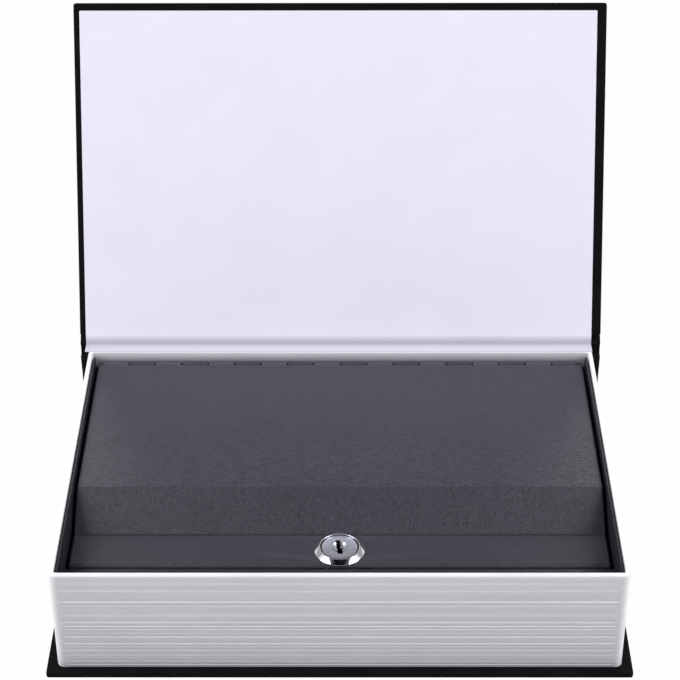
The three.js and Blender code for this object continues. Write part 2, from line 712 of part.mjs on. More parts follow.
function lockHousing() {
  const bore = PLUG_RADIUS + PLUG_CLEARANCE;
  const mouth = PLUG_HEAD_RADIUS + PLUG_CLEARANCE;
  const seat = plugTopZ - PLUG_HEAD_THICKNESS - PLUG_CLEARANCE;
  const bezel = turned([
    [0, 0],
    [BEZEL_RADIUS, 0],
    [BEZEL_RADIUS, BEZEL_EDGE],
    [BEZEL_FACE_RADIUS, BEZEL_HEIGHT - 0.15],
    [BEZEL_FACE_RADIUS - 0.15, BEZEL_HEIGHT],
    [0, BEZEL_HEIGHT],
  ]);
  const body = raised(lockSection(LOCK_BODY_RADIUS, LOCK_BODY_FLATS / 2), plugEndZ, 0.2);
  const groove = WAFER_LENGTH / 2 + WAFER_TRAVEL + 0.3;
  const slot = WAFER_WIDTH / 2 + 2 * WAFER_CLEARANCE;
  const grooveTop = seat - 0.6;
  const hollows = [
    rod(bore, plugEndZ - 1, BEZEL_HEIGHT + 1, ROUND_SIDES),
    rod(mouth, seat, BEZEL_HEIGHT + 1, ROUND_SIDES),
    block(-slot, slot, -groove, groove, plugEndZ - 1, grooveTop),
    block(-groove, groove, -slot, slot, plugEndZ - 1, grooveTop),
  ];
  return join([cut(join([bezel, body]), hollows), ...stopLugs()]);
}

// Two lugs on the housing's end, between which the stop washer's tab swings a quarter turn
function stopLugs() {
  const ringRadius = (STOP_TAB_RADIUS + PLUG_RADIUS + WAFER_TRAVEL + 0.6) / 2;
  const size = 1.1;
  const tabHalf = Math.asin(STOP_TAB_WIDTH / 2 / ringRadius);
  const lugHalf = Math.asin(size / ringRadius) + 0.05;
  const start = Math.PI / 2 - tabHalf - lugHalf;
  const end = Math.PI + tabHalf + lugHalf;
  return [start, end].map((angle) =>
    rod(
      size, plugEndZ - STOP_LUG_HEIGHT, plugEndZ + 0.2, 12,
      ringRadius * Math.cos(angle), ringRadius * Math.sin(angle),
    ));
}

function keyway(lowZ, highZ) {
  const half = KEYWAY_WIDTH / 2;
  const end = KEYWAY_HEIGHT / 2;
  const ward = KEYWAY_WARD;
  const shape = outline([
    [-half, -end], [half - ward, -end], [half - ward, -end / 2], [half, -end / 4],
    [half - ward, 0], [half, end / 4], [half, end], [-half + ward, end],
    [-half + ward, end / 2], [-half, end / 4], [-half + ward, 0], [-half, -end / 4],
  ]);
  return raised(shape, lowZ, highZ);
}

function waferZ(index) {
  return plugTopZ - PLUG_HEAD_THICKNESS - 1.6 - index * WAFER_PITCH;
}

function lockPlug() {
  const neck = plugTopZ - PLUG_HEAD_THICKNESS;
  const body = turned([
    [0, plugEndZ],
    [PLUG_RADIUS, plugEndZ],
    [PLUG_RADIUS, neck],
    [PLUG_HEAD_RADIUS, neck],
    [PLUG_HEAD_RADIUS, plugTopZ - 0.2],
    [PLUG_HEAD_RADIUS - 0.2, plugTopZ],
    [DISH_RADIUS, plugTopZ],
    [DISH_RADIUS * 0.45, plugTopZ - DISH_DEPTH],
    [0, plugTopZ - DISH_DEPTH],
  ]);
  const tail = raised(squareSection(TAIL_SIZE), tailEndZ, plugEndZ + 0.5);
  const screwHole = rod(CAM_SCREW_RADIUS + CAM_SCREW_CLEARANCE, tailEndZ - 1, tailEndZ + CAM_SCREW_DEPTH);
  const slotHalf = WAFER_WIDTH / 2 + WAFER_CLEARANCE;
  const slots = [];
  for (let i = 0; i < WAFER_COUNT; i += 1) {
    const z = waferZ(i);
    const slotThickness = WAFER_THICKNESS / 2 + WAFER_CLEARANCE / 2;
    const reach = PLUG_RADIUS + 1;
    slots.push(block(-slotHalf, slotHalf, -reach, reach, z - slotThickness, z + slotThickness));
  }
  const lastSlotZ = waferZ(WAFER_COUNT - 1) - WAFER_THICKNESS;
  return cut(join([body, tail]), [...slots, keyway(lastSlotZ, plugTopZ + 1), screwHole]);
}

function squareSection(size) {
  return roundedRectangle(-size / 2, size / 2, -size / 2, size / 2, size * 0.12);
}

function wafer(index) {
  const shift = (index % 3 - 1) * WAFER_CUT_STEP;
  const end = WAFER_LENGTH / 2;
  const side = WAFER_WIDTH / 2;
  const chamfer = 0.5;
  const shape = outline([
    [-side + chamfer, -end], [side - chamfer, -end], [side, -end + chamfer], [side, end - chamfer],
    [side - chamfer, end], [-side + chamfer, end], [-side, end - chamfer], [-side, -end + chamfer],
  ]);
  const window = WAFER_WINDOW_WIDTH / 2;
  const reach = WAFER_WINDOW_LENGTH / 2;
  shape.holes.push(new THREE.Path([
    new THREE.Vector2(-window, shift - reach),
    new THREE.Vector2(-window, shift + reach),
    new THREE.Vector2(window, shift + reach),
    new THREE.Vector2(window, shift - reach),
  ]));
  const z = waferZ(index);
  return raised(shape, z - WAFER_THICKNESS / 2, z + WAFER_THICKNESS / 2);
}

function lockWasher() {
  const shape = new THREE.Shape();
  const teeth = 24;
  for (let i = 0; i < teeth; i += 1) {
    const angle = (2 * Math.PI * i) / teeth;
    const radius = i % 2 === 0 ? LOCK_WASHER_RADIUS : LOCK_WASHER_RADIUS - 0.9;
    const point = [radius * Math.cos(angle), radius * Math.sin(angle)];
    if (i === 0) shape.moveTo(...point);
    else shape.lineTo(...point);
  }
  shape.closePath();
  const top = -SHEET - GLUE_GAP;
  const disc = raised(shape, top - LOCK_WASHER_THICKNESS, top);
  return disc.subtract(rod(LOCK_BODY_RADIUS + 0.2, -2 * NUT_THICKNESS, 1, ROUND_SIDES));
}

function lockNut() {
  const top = -SHEET - LOCK_WASHER_THICKNESS - 2 * GLUE_GAP;
  const hex = rod(NUT_ACROSS_FLATS / Math.sqrt(3), top - NUT_THICKNESS, top, 6);
  const cone = turned([
    [0, top - NUT_THICKNESS - 0.1],
    [NUT_ACROSS_FLATS / 2, top - NUT_THICKNESS - 0.1],
    [NUT_ACROSS_FLATS / 2 + 1.8, top - NUT_THICKNESS + 1],
    [NUT_ACROSS_FLATS / 2 + 1.8, top + 0.1],
    [0, top + 0.1],
  ]);
  return hex.intersect(cone).subtract(rod(LOCK_BODY_RADIUS + 0.2, top - 2 * NUT_THICKNESS, 1, ROUND_SIDES));
}

function stopWasher() {
  const disc = rod(PLUG_RADIUS + 0.3, stopWasherZ, stopWasherZ + STOP_WASHER_THICKNESS);
  const tab = block(
    -STOP_TAB_WIDTH / 2, STOP_TAB_WIDTH / 2,
    0, STOP_TAB_RADIUS,
    stopWasherZ, stopWasherZ + STOP_WASHER_THICKNESS,
  );
  const hole = raised(squareSection(TAIL_SIZE + 2 * CAM_CLEARANCE), stopWasherZ - 1, plugEndZ + 1);
  return disc.add(tab).subtract(hole);
}

function lockCam() {
  const boss = CAM_WIDTH / 2;
  const tip = CAM_TIP_WIDTH / 2;
  const shape = new THREE.Shape();
  shape.moveTo(0, boss);
  shape.lineTo(-CAM_REACH * 0.35, tip);
  shape.lineTo(-CAM_REACH + tip * 0.4, tip);
  shape.quadraticCurveTo(-CAM_REACH, tip, -CAM_REACH, tip * 0.6);
  shape.lineTo(-CAM_REACH, -tip * 0.6);
  shape.quadraticCurveTo(-CAM_REACH, -tip, -CAM_REACH + tip * 0.4, -tip);
  shape.lineTo(-CAM_REACH * 0.35, -tip);
  shape.lineTo(0, -boss);
  shape.absarc(0, 0, boss, -Math.PI / 2, Math.PI / 2, false);
  const hole = raised(squareSection(TAIL_SIZE + 2 * CAM_CLEARANCE), camZ - 1, camZ + CAM_THICKNESS + 1);
  return raised(shape, camZ, camZ + CAM_THICKNESS).subtract(hole);
}

function camScrew() {
  const seat = camZ - CAM_SCREW_CLEARANCE;
  const head = turned([
    [0, seat - CAM_SCREW_HEAD],
    [CAM_SCREW_HEAD_RADIUS * 0.6, seat - CAM_SCREW_HEAD],
    [CAM_SCREW_HEAD_RADIUS, seat - CAM_SCREW_HEAD * 0.4],
    [CAM_SCREW_HEAD_RADIUS, seat],
    [CAM_SCREW_RADIUS, seat],
    [CAM_SCREW_RADIUS, tailEndZ + CAM_SCREW_DEPTH - 0.5],
    [0, tailEndZ + CAM_SCREW_DEPTH - 0.5],
  ], SMALL_SIDES);
  const slot = 0.5;
  const reach = CAM_SCREW_HEAD_RADIUS * 0.55;
  const low = seat - CAM_SCREW_HEAD - 1;
  const high = seat - CAM_SCREW_HEAD * 0.35;
  return cut(head, [
    block(-slot, slot, -reach, reach, low, high),
    block(-reach, reach, -slot, slot, low, high),
  ]);
}

// Assembly
const safe = new THREE.Group();

const backCover = new THREE.Group();
backCover.position.set(0, foreY, 0);
backCover.add(piece("back_board", coverBoard(), greyboard()));
backCover.add(piece("back_cover_wrap", coverWrap(), leatherette()));
safe.add(backCover);
safe.add(piece("spine_board", spineBoard(), greyboard()));
safe.add(piece("spine_wrap", spineWrap(), leatherette()));

const coverHinge = new THREE.Group();
coverHinge.position.set(0, coverAxisY, coverAxisZ);
coverHinge.rotation.x = -opening;
const frontCover = new THREE.Group();
frontCover.position.set(0, foreY - coverAxisY, BOOK_THICKNESS - coverAxisZ);
frontCover.rotation.y = Math.PI;
frontCover.add(piece("front_board", coverBoard(), greyboard()));
frontCover.add(piece("front_cover_wrap", coverWrap(), leatherette()));
frontCover.add(piece("front_endpaper", coverEndpaper(), endpaper()));
coverHinge.add(frontCover);
safe.add(coverHinge);
safe.add(piece("cover_joint_cloth", jointCloth(), leatherette()));
safe.add(piece("cover_joint_paper", jointPaper(), endpaper()));

safe.add(piece("page_block", pageBlock(), whitePlastic()));
safe.add(piece("steel_box", steelBox(), powderCoat()));
safe.add(piece("box_hinge_leaf", hingeLeaf(), powderCoat()));
safe.add(piece("hinge_pin", hingePin(), zincSteel()));
rivetPlaces().forEach(([x, y], i) => {
  const mesh = piece(`box_rivet_${i + 1}`, rivet(), zincSteel());
  mesh.position.set(x, y, 0);
  safe.add(mesh);
});

safe.add(piece("lid_panel", lidPanel(), powderCoat()));

const lock = new THREE.Group();
lock.position.set(0, lockY, shelfZ + LOCK_SEAT_GAP);
lock.add(piece("lock_housing", lockHousing(), chrome()));
lock.add(piece("lock_washer", lockWasher(), zincSteel()));
lock.add(piece("lock_nut", lockNut(), zincSteel()));
lock.add(piece("lock_plug", lockPlug(), satinChrome()));
for (let i = 0; i < WAFER_COUNT; i += 1) {
  lock.add(piece(`lock_wafer_${i + 1}`, wafer(i), brass()));
}
lock.add(piece("cam_stop_washer", stopWasher(), zincSteel()));
lock.add(piece("lock_cam", lockCam(), zincSteel()));
lock.add(piece("cam_screw", camScrew(), zincSteel()));
safe.add(lock);

export default safe;
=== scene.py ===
import json
import math
import random
from functools import cached_property

import bmesh
import bpy
from mathutils import Matrix, Vector


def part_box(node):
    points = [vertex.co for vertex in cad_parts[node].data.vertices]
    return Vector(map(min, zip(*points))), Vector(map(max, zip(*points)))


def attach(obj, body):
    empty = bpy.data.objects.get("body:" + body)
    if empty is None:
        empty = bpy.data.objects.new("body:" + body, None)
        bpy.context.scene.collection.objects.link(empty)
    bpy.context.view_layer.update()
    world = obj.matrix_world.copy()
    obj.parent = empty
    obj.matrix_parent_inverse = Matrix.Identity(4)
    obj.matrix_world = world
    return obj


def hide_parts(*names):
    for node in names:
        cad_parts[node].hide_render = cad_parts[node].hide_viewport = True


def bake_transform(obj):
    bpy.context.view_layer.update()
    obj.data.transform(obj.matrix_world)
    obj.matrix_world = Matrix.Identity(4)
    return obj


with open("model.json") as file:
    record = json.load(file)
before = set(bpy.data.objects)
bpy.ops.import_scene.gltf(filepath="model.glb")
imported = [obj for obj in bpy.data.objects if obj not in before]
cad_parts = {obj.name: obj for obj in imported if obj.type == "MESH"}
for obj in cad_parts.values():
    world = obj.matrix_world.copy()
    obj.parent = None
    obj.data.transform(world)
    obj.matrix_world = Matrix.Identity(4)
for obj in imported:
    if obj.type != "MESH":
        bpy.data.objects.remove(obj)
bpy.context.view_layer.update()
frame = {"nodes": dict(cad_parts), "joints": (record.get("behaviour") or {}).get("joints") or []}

MM = 0.001
CUT_SCALE = 1000.0
# A cutter runs on past what it cuts, and shells that join run a little into each other
OVERCUT = 1 * MM
LAP = 0.02 * MM

# Camera of the photograph
CAMERA_PLACE = Vector((2.8, -681.5, 579.0)) * MM
CAMERA_PITCH = math.radians(34.556)
CAMERA_YAW = math.radians(-0.229)
CAMERA_ROLL = math.radians(-0.149)
SENSOR_WIDTH = 36.0
FOCAL_LENGTH = 106.38
CAMERA_SHIFT_X = 0.0004
CAMERA_SHIFT_Y = 0.0030

# Case
CLOTH = 0.3 * MM
CLOTH_EDGE = 0.1 * MM
GLUE = 0.05 * MM
BOARD = 1.8 * MM
BOARD_EDGE = 0.25 * MM
BOARD_CORNER = 0.6 * MM
PAPER = 0.2 * MM
PAPER_EDGE = 0.06 * MM
PAPER_CORNER = 0.5 * MM
TURN_IN = 14 * MM
TURN_IN_EDGE = 0.15 * MM
COVER_EDGE_ROUND = 0.55 * MM
COVER_CORNER_ROUND = 1.2 * MM
COVER_FACE_INSET = 20 * MM
INNER_CORNER = 0.4 * MM
FOLD_DIP = 0.12 * MM
FOLD_DIP_START = 1.2 * MM
SPINE_BULGE = 0.8 * MM
SPINE_FOOT = 5.5 * MM
SPINE_TOP_SETBACK = 8.25 * MM
SHOULDER_RADIUS = 6.1 * MM
SHOULDER_END = math.radians(27)
GROOVE_DEPTH = 1.6 * MM
GROOVE_WIDTH = 6.5 * MM
GROOVE_BEND = 0.9 * MM

# Cover's flexible joint
AXIS_BELOW_COVER = 2.6 * MM
CREASE_BEHIND_AXIS = 5 * MM
CREASE_BEND = 0.6 * MM
PAPER_OVERLAP = 2.2 * MM
JOINT_STEPS = 16
JOINT_STEP = 0.35 * MM
JOINT_FOOT_GAP = 0.02 * MM
GUTTER_SHADE = "gutter_shade"
FLAT_SHADE = 0.27
CREASE_SHADE = 0.36
RISING_SHADE = 0.56

# Page block
BLOCK_WALL = 2 * MM
BLOCK_REAR_WALL = 1.5 * MM
BLOCK_FLANGE = 14 * MM
BLOCK_FLANGE_THICKNESS = 1.6 * MM
BLOCK_CORNER = 3 * MM
BLOCK_REAR_CORNER = 1 * MM
RIM_ROUND = 1.1 * MM
RIM_INNER_ROUND = 0.4 * MM
PAGE_LEDGE = 0.21 * MM
PAGE_LEDGE_HEIGHT = 0.45 * MM
PAGE_FIRST_RISE = 1.6 * MM
PAGE_GRAIN = 0.035 * MM
PAGE_GRAIN_PITCH = 0.42 * MM
PAGE_FOOT_INSET = 0.1 * MM
# How far below the rim each gathering of pages begins, in millimetres
PAGE_LEDGES = [4.9, 8.6, 14.4, 16.4, 21.7, 25.3, 27.4, 29, 31.1, 33.1, 36.8, 38.4, 40.5, 43.1, 46.7, 48.2]
# How much of a page ledge shows at a distance from the end of a straight side
LEDGE_FADE = [(0.6 * MM, 0.25), (1.3 * MM, 0.7), (2.2 * MM, 1.0)]

# Rivets
RIVET_INSET = 8.8 * MM
RIVET_HOLE = 1.65 * MM
RIVET_TAIL_HOLE = 2.5 * MM
RIVET_TAIL_DEPTH = 0.65 * MM
RIVET_TAIL = 2.3 * MM
RIVET_TAIL_HEIGHT = 0.5 * MM
RIVET_TAIL_EDGE = 0.1 * MM
RIVET_SHANK = 1.45 * MM
RIVET_HEAD = 3 * MM
RIVET_HEAD_EDGE = 0.2 * MM

# Steel box
SHEET = 1 * MM
SHEET_EDGE = 0.15 * MM
BEND = 1.1 * MM
LEDGE_WIDTH = 17.9 * MM
LEDGE_LIP = 11.7 * MM
SIDE_EDGE_INSET = 0.2 * MM
SIDE_EDGE_ROUND = 0.22 * MM
SIDE_CORNER = 1.5 * MM
REST_TAB_X = 68 * MM
REST_TAB_WIDTH = 15 * MM
REST_TAB_LENGTH = 4 * MM
REST_TAB_DROP = 4.8 * MM

# Lid
SHELF_DEPTH = 20.4 * MM
RISER_RUN = 18.65 * MM
SHELF_DROP = 9.85 * MM
LID_FLANGE = 6 * MM
LID_FRONT_FLANGE = 4 * MM
LID_SIDE_SHY = 0.5 * MM
FLANGE_FRONT_GAP = 0.3 * MM
FLANGE_REAR_GAP = 1.5 * MM
NUT_RELIEF = 13.05 * MM
RELIEF_SETBACK = 0.4 * MM

# Piano hinge
KNUCKLE_RADIUS = 1.5 * MM
KNUCKLE_BORE = 0.92 * MM
KNUCKLE_EDGE = 0.12 * MM
KNUCKLE_COUNT = 18
KNUCKLE_GAP = 0.5 * MM
HINGE_LENGTH = 218 * MM
HINGE_CLEARANCE = 0.3 * MM
PLATE_CLEARANCE = 1.25 * MM
TONGUE_STEP = 0.02 * MM
TONGUE_BEND = 1 * MM
LEAF = 0.7 * MM
LEAF_HEIGHT = 12 * MM
LEAF_SHY = 0.1 * MM
PIN_RADIUS = 0.83 * MM
PIN_END_RADIUS = 0.55 * MM
PIN_END = 0.2 * MM
PIN_REACH = 0.3 * MM

# Cam lock
BEZEL_RADIUS = 10.5 * MM
BEZEL_FACE = 8.45 * MM
BEZEL_EDGE = 0.35 * MM
BEZEL_HEIGHT = 1.7 * MM
BEZEL_LIP = 0.2 * MM
# A black ring round the plug stands in for the shade in the gap between plug and bezel
GAP_SHADE_WIDTH = 0.45 * MM
GAP_SHADE_DROP = 0.1 * MM
GAP_SHADE_EDGE = 0.05 * MM
BODY_RADIUS = 8.8 * MM
BODY_FLATS = 15.2 * MM
BODY_LENGTH = 10.6 * MM
BODY_CLEARANCE = 0.15 * MM
PLUG_HEAD = 7.4 * MM
PLUG_HEAD_THICKNESS = 0.9 * MM
PLUG_INSET = 0.4 * MM
PLUG_RADIUS = 6 * MM
PLUG_CLEARANCE = 0.08 * MM
DISH_RADIUS = 3.4 * MM
DISH_DEPTH = 1.1 * MM
# The keyway's outline, up its right side and down its left, in millimetres from the lock's axis
KEYWAY = [
    (1.25, -4.3), (1.35, -2.2), (0.95, -1.3), (1.3, -0.4), (1.65, 0.6), (1.1, 0.7), (0.55, 0.2), (0.2, 0.6),
    (0.25, 2.3), (0.05, 4.3), (-1.75, 4.3), (-1.6, 3.4), (-1.35, 1.6), (-1.2, 0.4), (-0.9, -0.4), (-1, -2.4),
    (-0.7, -4.3),
]
TAIL_SIZE = 6 * MM
TAIL_CLEARANCE = 0.3 * MM
SQUARE_CUT_DEPTH = 30 * MM
TAIL_HOLE = 1.8 * MM
TAIL_HOLE_END = 0.5 * MM
SQUARE_CORNER = 0.12
WAFER_COUNT = 5
WAFER_THICKNESS = 1 * MM
WAFER_WIDTH = 5 * MM
WAFER_LENGTH = 11.2 * MM
WAFER_TRAVEL = 0.8 * MM
WAFER_CLEARANCE = 0.15 * MM
WAFER_CHAMFER = 0.5 * MM
WINDOW_HALF_WIDTH = 1.7 * MM
WINDOW_HALF_LENGTH = 4.3 * MM
WAFER_STEP = 0.3 * MM
STOP_RIM = 0.3 * MM
STOP_TAB_RADIUS = 8.6 * MM
STOP_TAB_HALF = 1.5 * MM
STOP_LUG_RADIUS = 1.1 * MM
STOP_LUG_HEIGHT = 1 * MM
STOP_LUG_CLEARANCE = 0.05
WASHER_TEETH = 24
TOOTH_DEPTH = 0.9 * MM
WASHER_CLEARANCE = 0.2 * MM
# The nut's rounded corners, as height from its lower or upper face and reach past its flats
NUT_FOOT = [(0, 0), (0.6 * MM, 1.25 * MM)]
NUT_HEAD = [(-0.15 * MM, 1.55 * MM), (0, 1.35 * MM)]
CAM_TIP = 4 * MM
CAM_WAIST = 0.35
SCREW_HEAD = 1.6 * MM
SCREW_SHANK = 1.7 * MM
SCREW_CROWN = 0.45
SCREW_CROWN_RISE = 0.03 * MM
SCREW_DOME = 1 * MM
SCREW_TIP = 0.3 * MM
SCREW_EDGE = 0.1 * MM
CROSS_HALF = 0.5 * MM
CROSS_REACH = 0.55
CROSS_DEPTH = 0.9 * MM

# Studio
WHITE_SHARE = 0.985
FLOOR_SHADE = 0.36
FLOOR_HALF_WIDTH = 6.0
FLOOR_LEVEL = -0.1 * MM
SKY_LEVEL = 0.32
SOFTBOX_PLACE = (1.1, -0.4, 1.05)
SOFTBOX_TARGET = (0, 0, 0.05)
SOFTBOX_SIZE = (0.8, 1.05)
SOFTBOX_POWER = 17.5
REAR_PLACE = (0, 1.5, 0.5)
REAR_TARGET = (0, 0.12, 0.08)
REAR_SIZE = (1.8, 0.6)
REAR_POWER = 14.0
CARD_HEIGHT = 1.3
CARD_HALF_WIDTH = 0.8
CARD_FRONT = -1.3
CARD_REAR = 0.45
GREY_CARD_REAR = 5.0
GREY_CARD_HALF_WIDTH = 3.0
GREY_CARD_LEVEL = 0.42

# Places taken from the frame
cover_low, cover_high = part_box("back_cover_wrap")
block_low, block_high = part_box("page_block")
steel_low, steel_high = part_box("steel_box")
lid_low, lid_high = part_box("lid_panel")
paper_low, paper_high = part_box("cover_joint_paper")
housing_low, housing_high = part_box("lock_housing")
joints = {joint["name"]: joint for joint in frame["joints"]}
cover_axis = Vector(joints["cover_hinge"]["pos_m"])
cover_opening = -math.radians(joints["cover_hinge"]["range_deg"][0])
lid_axis = Vector(joints["lid_hinge"]["pos_m"])

half_length = cover_high.x
fore_y = cover_low.y
board_rear = cover_high.y
spine_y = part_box("spine_wrap")[1].y
cover_thickness = cover_high.z
closed_top = cover_axis.z + AXIS_BELOW_COVER + cover_thickness + GLUE + PAPER
spine_top = closed_top - SPINE_TOP_SETBACK
rim_z = block_high.z
shelf_z = lid_high.z - SHELF_DROP
lid_front = lid_low.y
shelf_rear = lid_front + SHELF_DEPTH
riser_rear = shelf_rear + RISER_RUN
barrel_foot = lid_axis.z - KNUCKLE_RADIUS - HINGE_CLEARANCE
lock_place = Vector((0, (housing_low.y + housing_high.y) / 2, shelf_z + GLUE))
plug_top = BEZEL_HEIGHT - PLUG_INSET

# What is drawn on the closed front cover goes to the cover's place in the photograph, and
# what is drawn on the back cover goes to the closed front cover
standing = (
    Matrix.Translation(cover_axis) @ Matrix.Rotation(-cover_opening, 4, "X") @ Matrix.Translation(-cover_axis)
)
turned_over = Matrix.Translation((0, 0, closed_top)) @ Matrix.Diagonal((1, 1, -1, 1))


# Shells: each is a list of points and a list of faces, and closes on itself
def loft(rings, closed=False):
    points = [point for ring in rings for point in ring]
    count = len(rings[0])
    faces = []
    for k in range(len(rings) if closed else len(rings) - 1):
        low = k * count
        high = (k + 1) % len(rings) * count
        for i in range(count):
            j = (i + 1) % count
            faces.append((low + i, low + j, high + j, high + i))
    if not closed:
        faces.append(tuple(range(count)))
        faces.append(tuple(range(len(points) - count, len(points))))
    return points, faces


def prism(outline, low_x, high_x):
    """An outline in Y and Z, run along X."""
    return loft([[(x, y, z) for y, z in outline] for x in (low_x, high_x)])


def plate(outline, low_z, high_z, centre=(0, 0)):
    """An outline in X and Y, raised between two heights."""
    return loft([[(centre[0] + x, centre[1] + y, z) for x, y in outline] for z in (low_z, high_z)])


def slab(low, high):
    x0, y0, z0 = low
    x1, y1, z1 = high
    return plate([(x0, y0), (x1, y0), (x1, y1), (x0, y1)], z0, z1)


def arc(x, y, radius, start, end, steps):
    """Points on a circle from one angle to another, both in quarter turns."""
    points = []
    for i in range(steps + 1):
        angle = math.pi / 2 * (start + (end - start) * i / steps)
        points.append((x + radius * math.cos(angle), y + radius * math.sin(angle)))
    return points


def circle(radius, sides):
    turns = [math.tau * i / sides for i in range(sides)]
    return [(radius * math.cos(turn), radius * math.sin(turn)) for turn in turns]


def rounded(low, high, bend, steps, first=0):
    """A rectangle with rounded corners, anticlockwise from corner 0, where x and y are high, or another."""
    corners = [
        (high[0] - bend, high[1] - bend), (low[0] + bend, high[1] - bend),
        (low[0] + bend, low[1] + bend), (high[0] - bend, low[1] + bend),
    ]
    points = []
    for quarter in range(first, first + 4):
        points += arc(*corners[quarter % 4], bend, quarter, quarter + 1, steps)
    return points


def rounded_ring(low, high, inset, radius, z, dip=0.0, steps=6):
    """A rounded rectangle, drawn in from its outermost size, with a dip at the middle of each corner."""
    bend = max(radius - inset, INNER_CORNER)
    flat = rounded((low[0] + inset, low[1] + inset), (high[0] - inset, high[1] - inset), bend, steps, -1)
    ring = []
    for i, (x, y) in enumerate(flat):
        middle = i % (steps + 1) * 2 == steps
        ring.append((x, y, z - dip if middle else z))
    return ring


def turned(profile, sides=96, centre=(0, 0)):
    """Pairs of radius and height turned round a vertical axis. A profile off the axis closes on itself."""
    rings = []
    for radius, z in profile:
        rings.append([(centre[0] + x, centre[1] + y, z) for x, y in circle(max(radius, 0.01 * MM), sides)])
    return loft(rings, closed=profile[0][0] > 0)


def rod(radius, low_z, high_z, sides=48, centre=(0, 0)):
    return plate(circle(radius, sides), low_z, high_z, centre)


def bent_line(corners, radius, steps=8):
    """A line through corners, each rounded by an arc of the bend radius or of its own third value."""
    line = [Vector(corners[0][:2])]
    for before, corner, after in zip(corners, corners[1:], corners[2:]):
        here = Vector(corner[:2])
        back = Vector(before[:2]) - here
        onward = Vector(after[:2]) - here
        half = back.angle(onward) / 2
        wanted = corner[2] if len(corner) > 2 else radius
        setback = min(wanted / math.tan(half), 0.45 * back.length, 0.45 * onward.length)
        back.normalize()
        onward.normalize()
        centre = here + (back + onward).normalized() * setback / math.cos(half)
        first = here + back * setback - centre
        last = here + onward * setback - centre
        turn = math.atan2(first.x * last.y - first.y * last.x, first.dot(last))
        for i in range(steps + 1):
            line.append(centre + Matrix.Rotation(turn * i / steps, 2) @ first)
    line.append(Vector(corners[-1][:2]))
    return line


def divided(line, step):
    """A line with points no further apart than a step."""
    fine = [line[0]]
    for before, after in zip(line, line[1:]):
        count = max(1, math.ceil((after - before).length / step))
        fine += [before.lerp(after, i / count) for i in range(1, count + 1)]
    return fine


def stations(line):
    """Each point of a line in Y and Z with the direction square to the line there."""
    found = []
    for i, point in enumerate(line):
        before = line[max(i - 1, 0)]
        after = line[min(i + 1, len(line) - 1)]
        heading = (after - before).normalized()
        found.append((point, Vector((-heading.y, heading.x))))
    return found


def outward_stations(line):
    """Each point of a closed outline with the direction out of it."""
    centre = sum(line, Vector((0, 0))) / len(line)
    found = []
    for i, point in enumerate(line):
        heading = (line[(i + 1) % len(line)] - line[i - 1]).normalized()
        out = Vector((-heading.y, heading.x))
        found.append((point, out if out.dot(point - centre) >= 0 else -out))
    return found


def sweep(profile, line):
    """A closed profile of across and lift, carried along a line in Y and Z."""
    return loft([
        [(across, point.x + lift * out.x, point.y + lift * out.y) for across, lift in profile]
        for point, out in stations(line)
    ])


def sheet_profile(half, thickness, edge):
    """The section across a sheet, with its four long edges a little rounded."""
    return rounded((-half, -thickness / 2), (half, thickness / 2), edge, 3)


def sheet_outline(line, thickness):
    """The outline of a sheet of one thickness along a line in Y and Z."""
    marks = stations(line)
    left = [tuple(point + out * thickness / 2) for point, out in marks]
    right = [tuple(point - out * thickness / 2) for point, out in marks]
    return left + right[::-1]


# Pieces
def settle(piece):
    """Turns a piece's modifiers into its mesh."""
    view = bpy.context.evaluated_depsgraph_get()
    view.update()
    data = bpy.data.meshes.new_from_object(piece.evaluated_get(view))
    piece.modifiers.clear()
    piece.data = data


def drawn(name, shells):
    """A new object made of closed shells, its faces outwards."""
    draft = bmesh.new()
    for points, faces in shells:
        corners = [draft.verts.new(point) for point in points]
        for face in faces:
            draft.faces.new([corners[i] for i in face])
    bmesh.ops.recalc_face_normals(draft, faces=draft.faces)
    data = bpy.data.meshes.new(name)
    draft.to_mesh(data)
    draft.free()
    piece = bpy.data.objects.new(name, data)
    bpy.context.scene.collection.objects.link(piece)
    return piece


def cut(piece, cutters):
    """Takes shells out of a piece, both scaled up because the solver works in small fixed steps."""
    piece.data.transform(Matrix.Scale(CUT_SCALE, 4))
    for cutter in cutters:
        tool = drawn(piece.name + "_cutter", [cutter])
        tool.data.transform(Matrix.Scale(CUT_SCALE, 4))
        hole = piece.modifiers.new("hole", "BOOLEAN")
        hole.operation = "DIFFERENCE"
        hole.solver = "MANIFOLD"
        hole.object = tool
        settle(piece)
        bpy.data.objects.remove(tool)
    piece.data.transform(Matrix.Scale(1 / CUT_SCALE, 4))


def make(name, shells, look, cutters=(), bevel=0.0, bevel_steps=2, place=None, smooth=35):
    """One piece from closed shells: holes cut, edges rounded, and faces smooth up to an angle."""
    piece = drawn(name, shells)
    if cutters:
        cut(piece, cutters)
    if bevel:
        edge = piece.modifiers.new("edge", "BEVEL")
        edge.width = bevel
        edge.segments = bevel_steps
        edge.limit_method = "ANGLE"
        edge.angle_limit = math.radians(40)
        settle(piece)
    if place is not None:
        piece.data.transform(place)
        if place.determinant() < 0:
            piece.data.flip_normals()
    piece.data.shade_smooth()
    piece.data.set_sharp_from_angle(angle=math.radians(smooth))
    material, slot = look
    piece.data.materials.clear()
    piece.data.materials.append(material)
    return piece


def dress(node, body, name, shells, look, **finish):
    """A piece that stands for a node of the frame and rides on a body."""
    piece = make(name, shells, look, **finish)
    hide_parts(node)
    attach(piece, body)


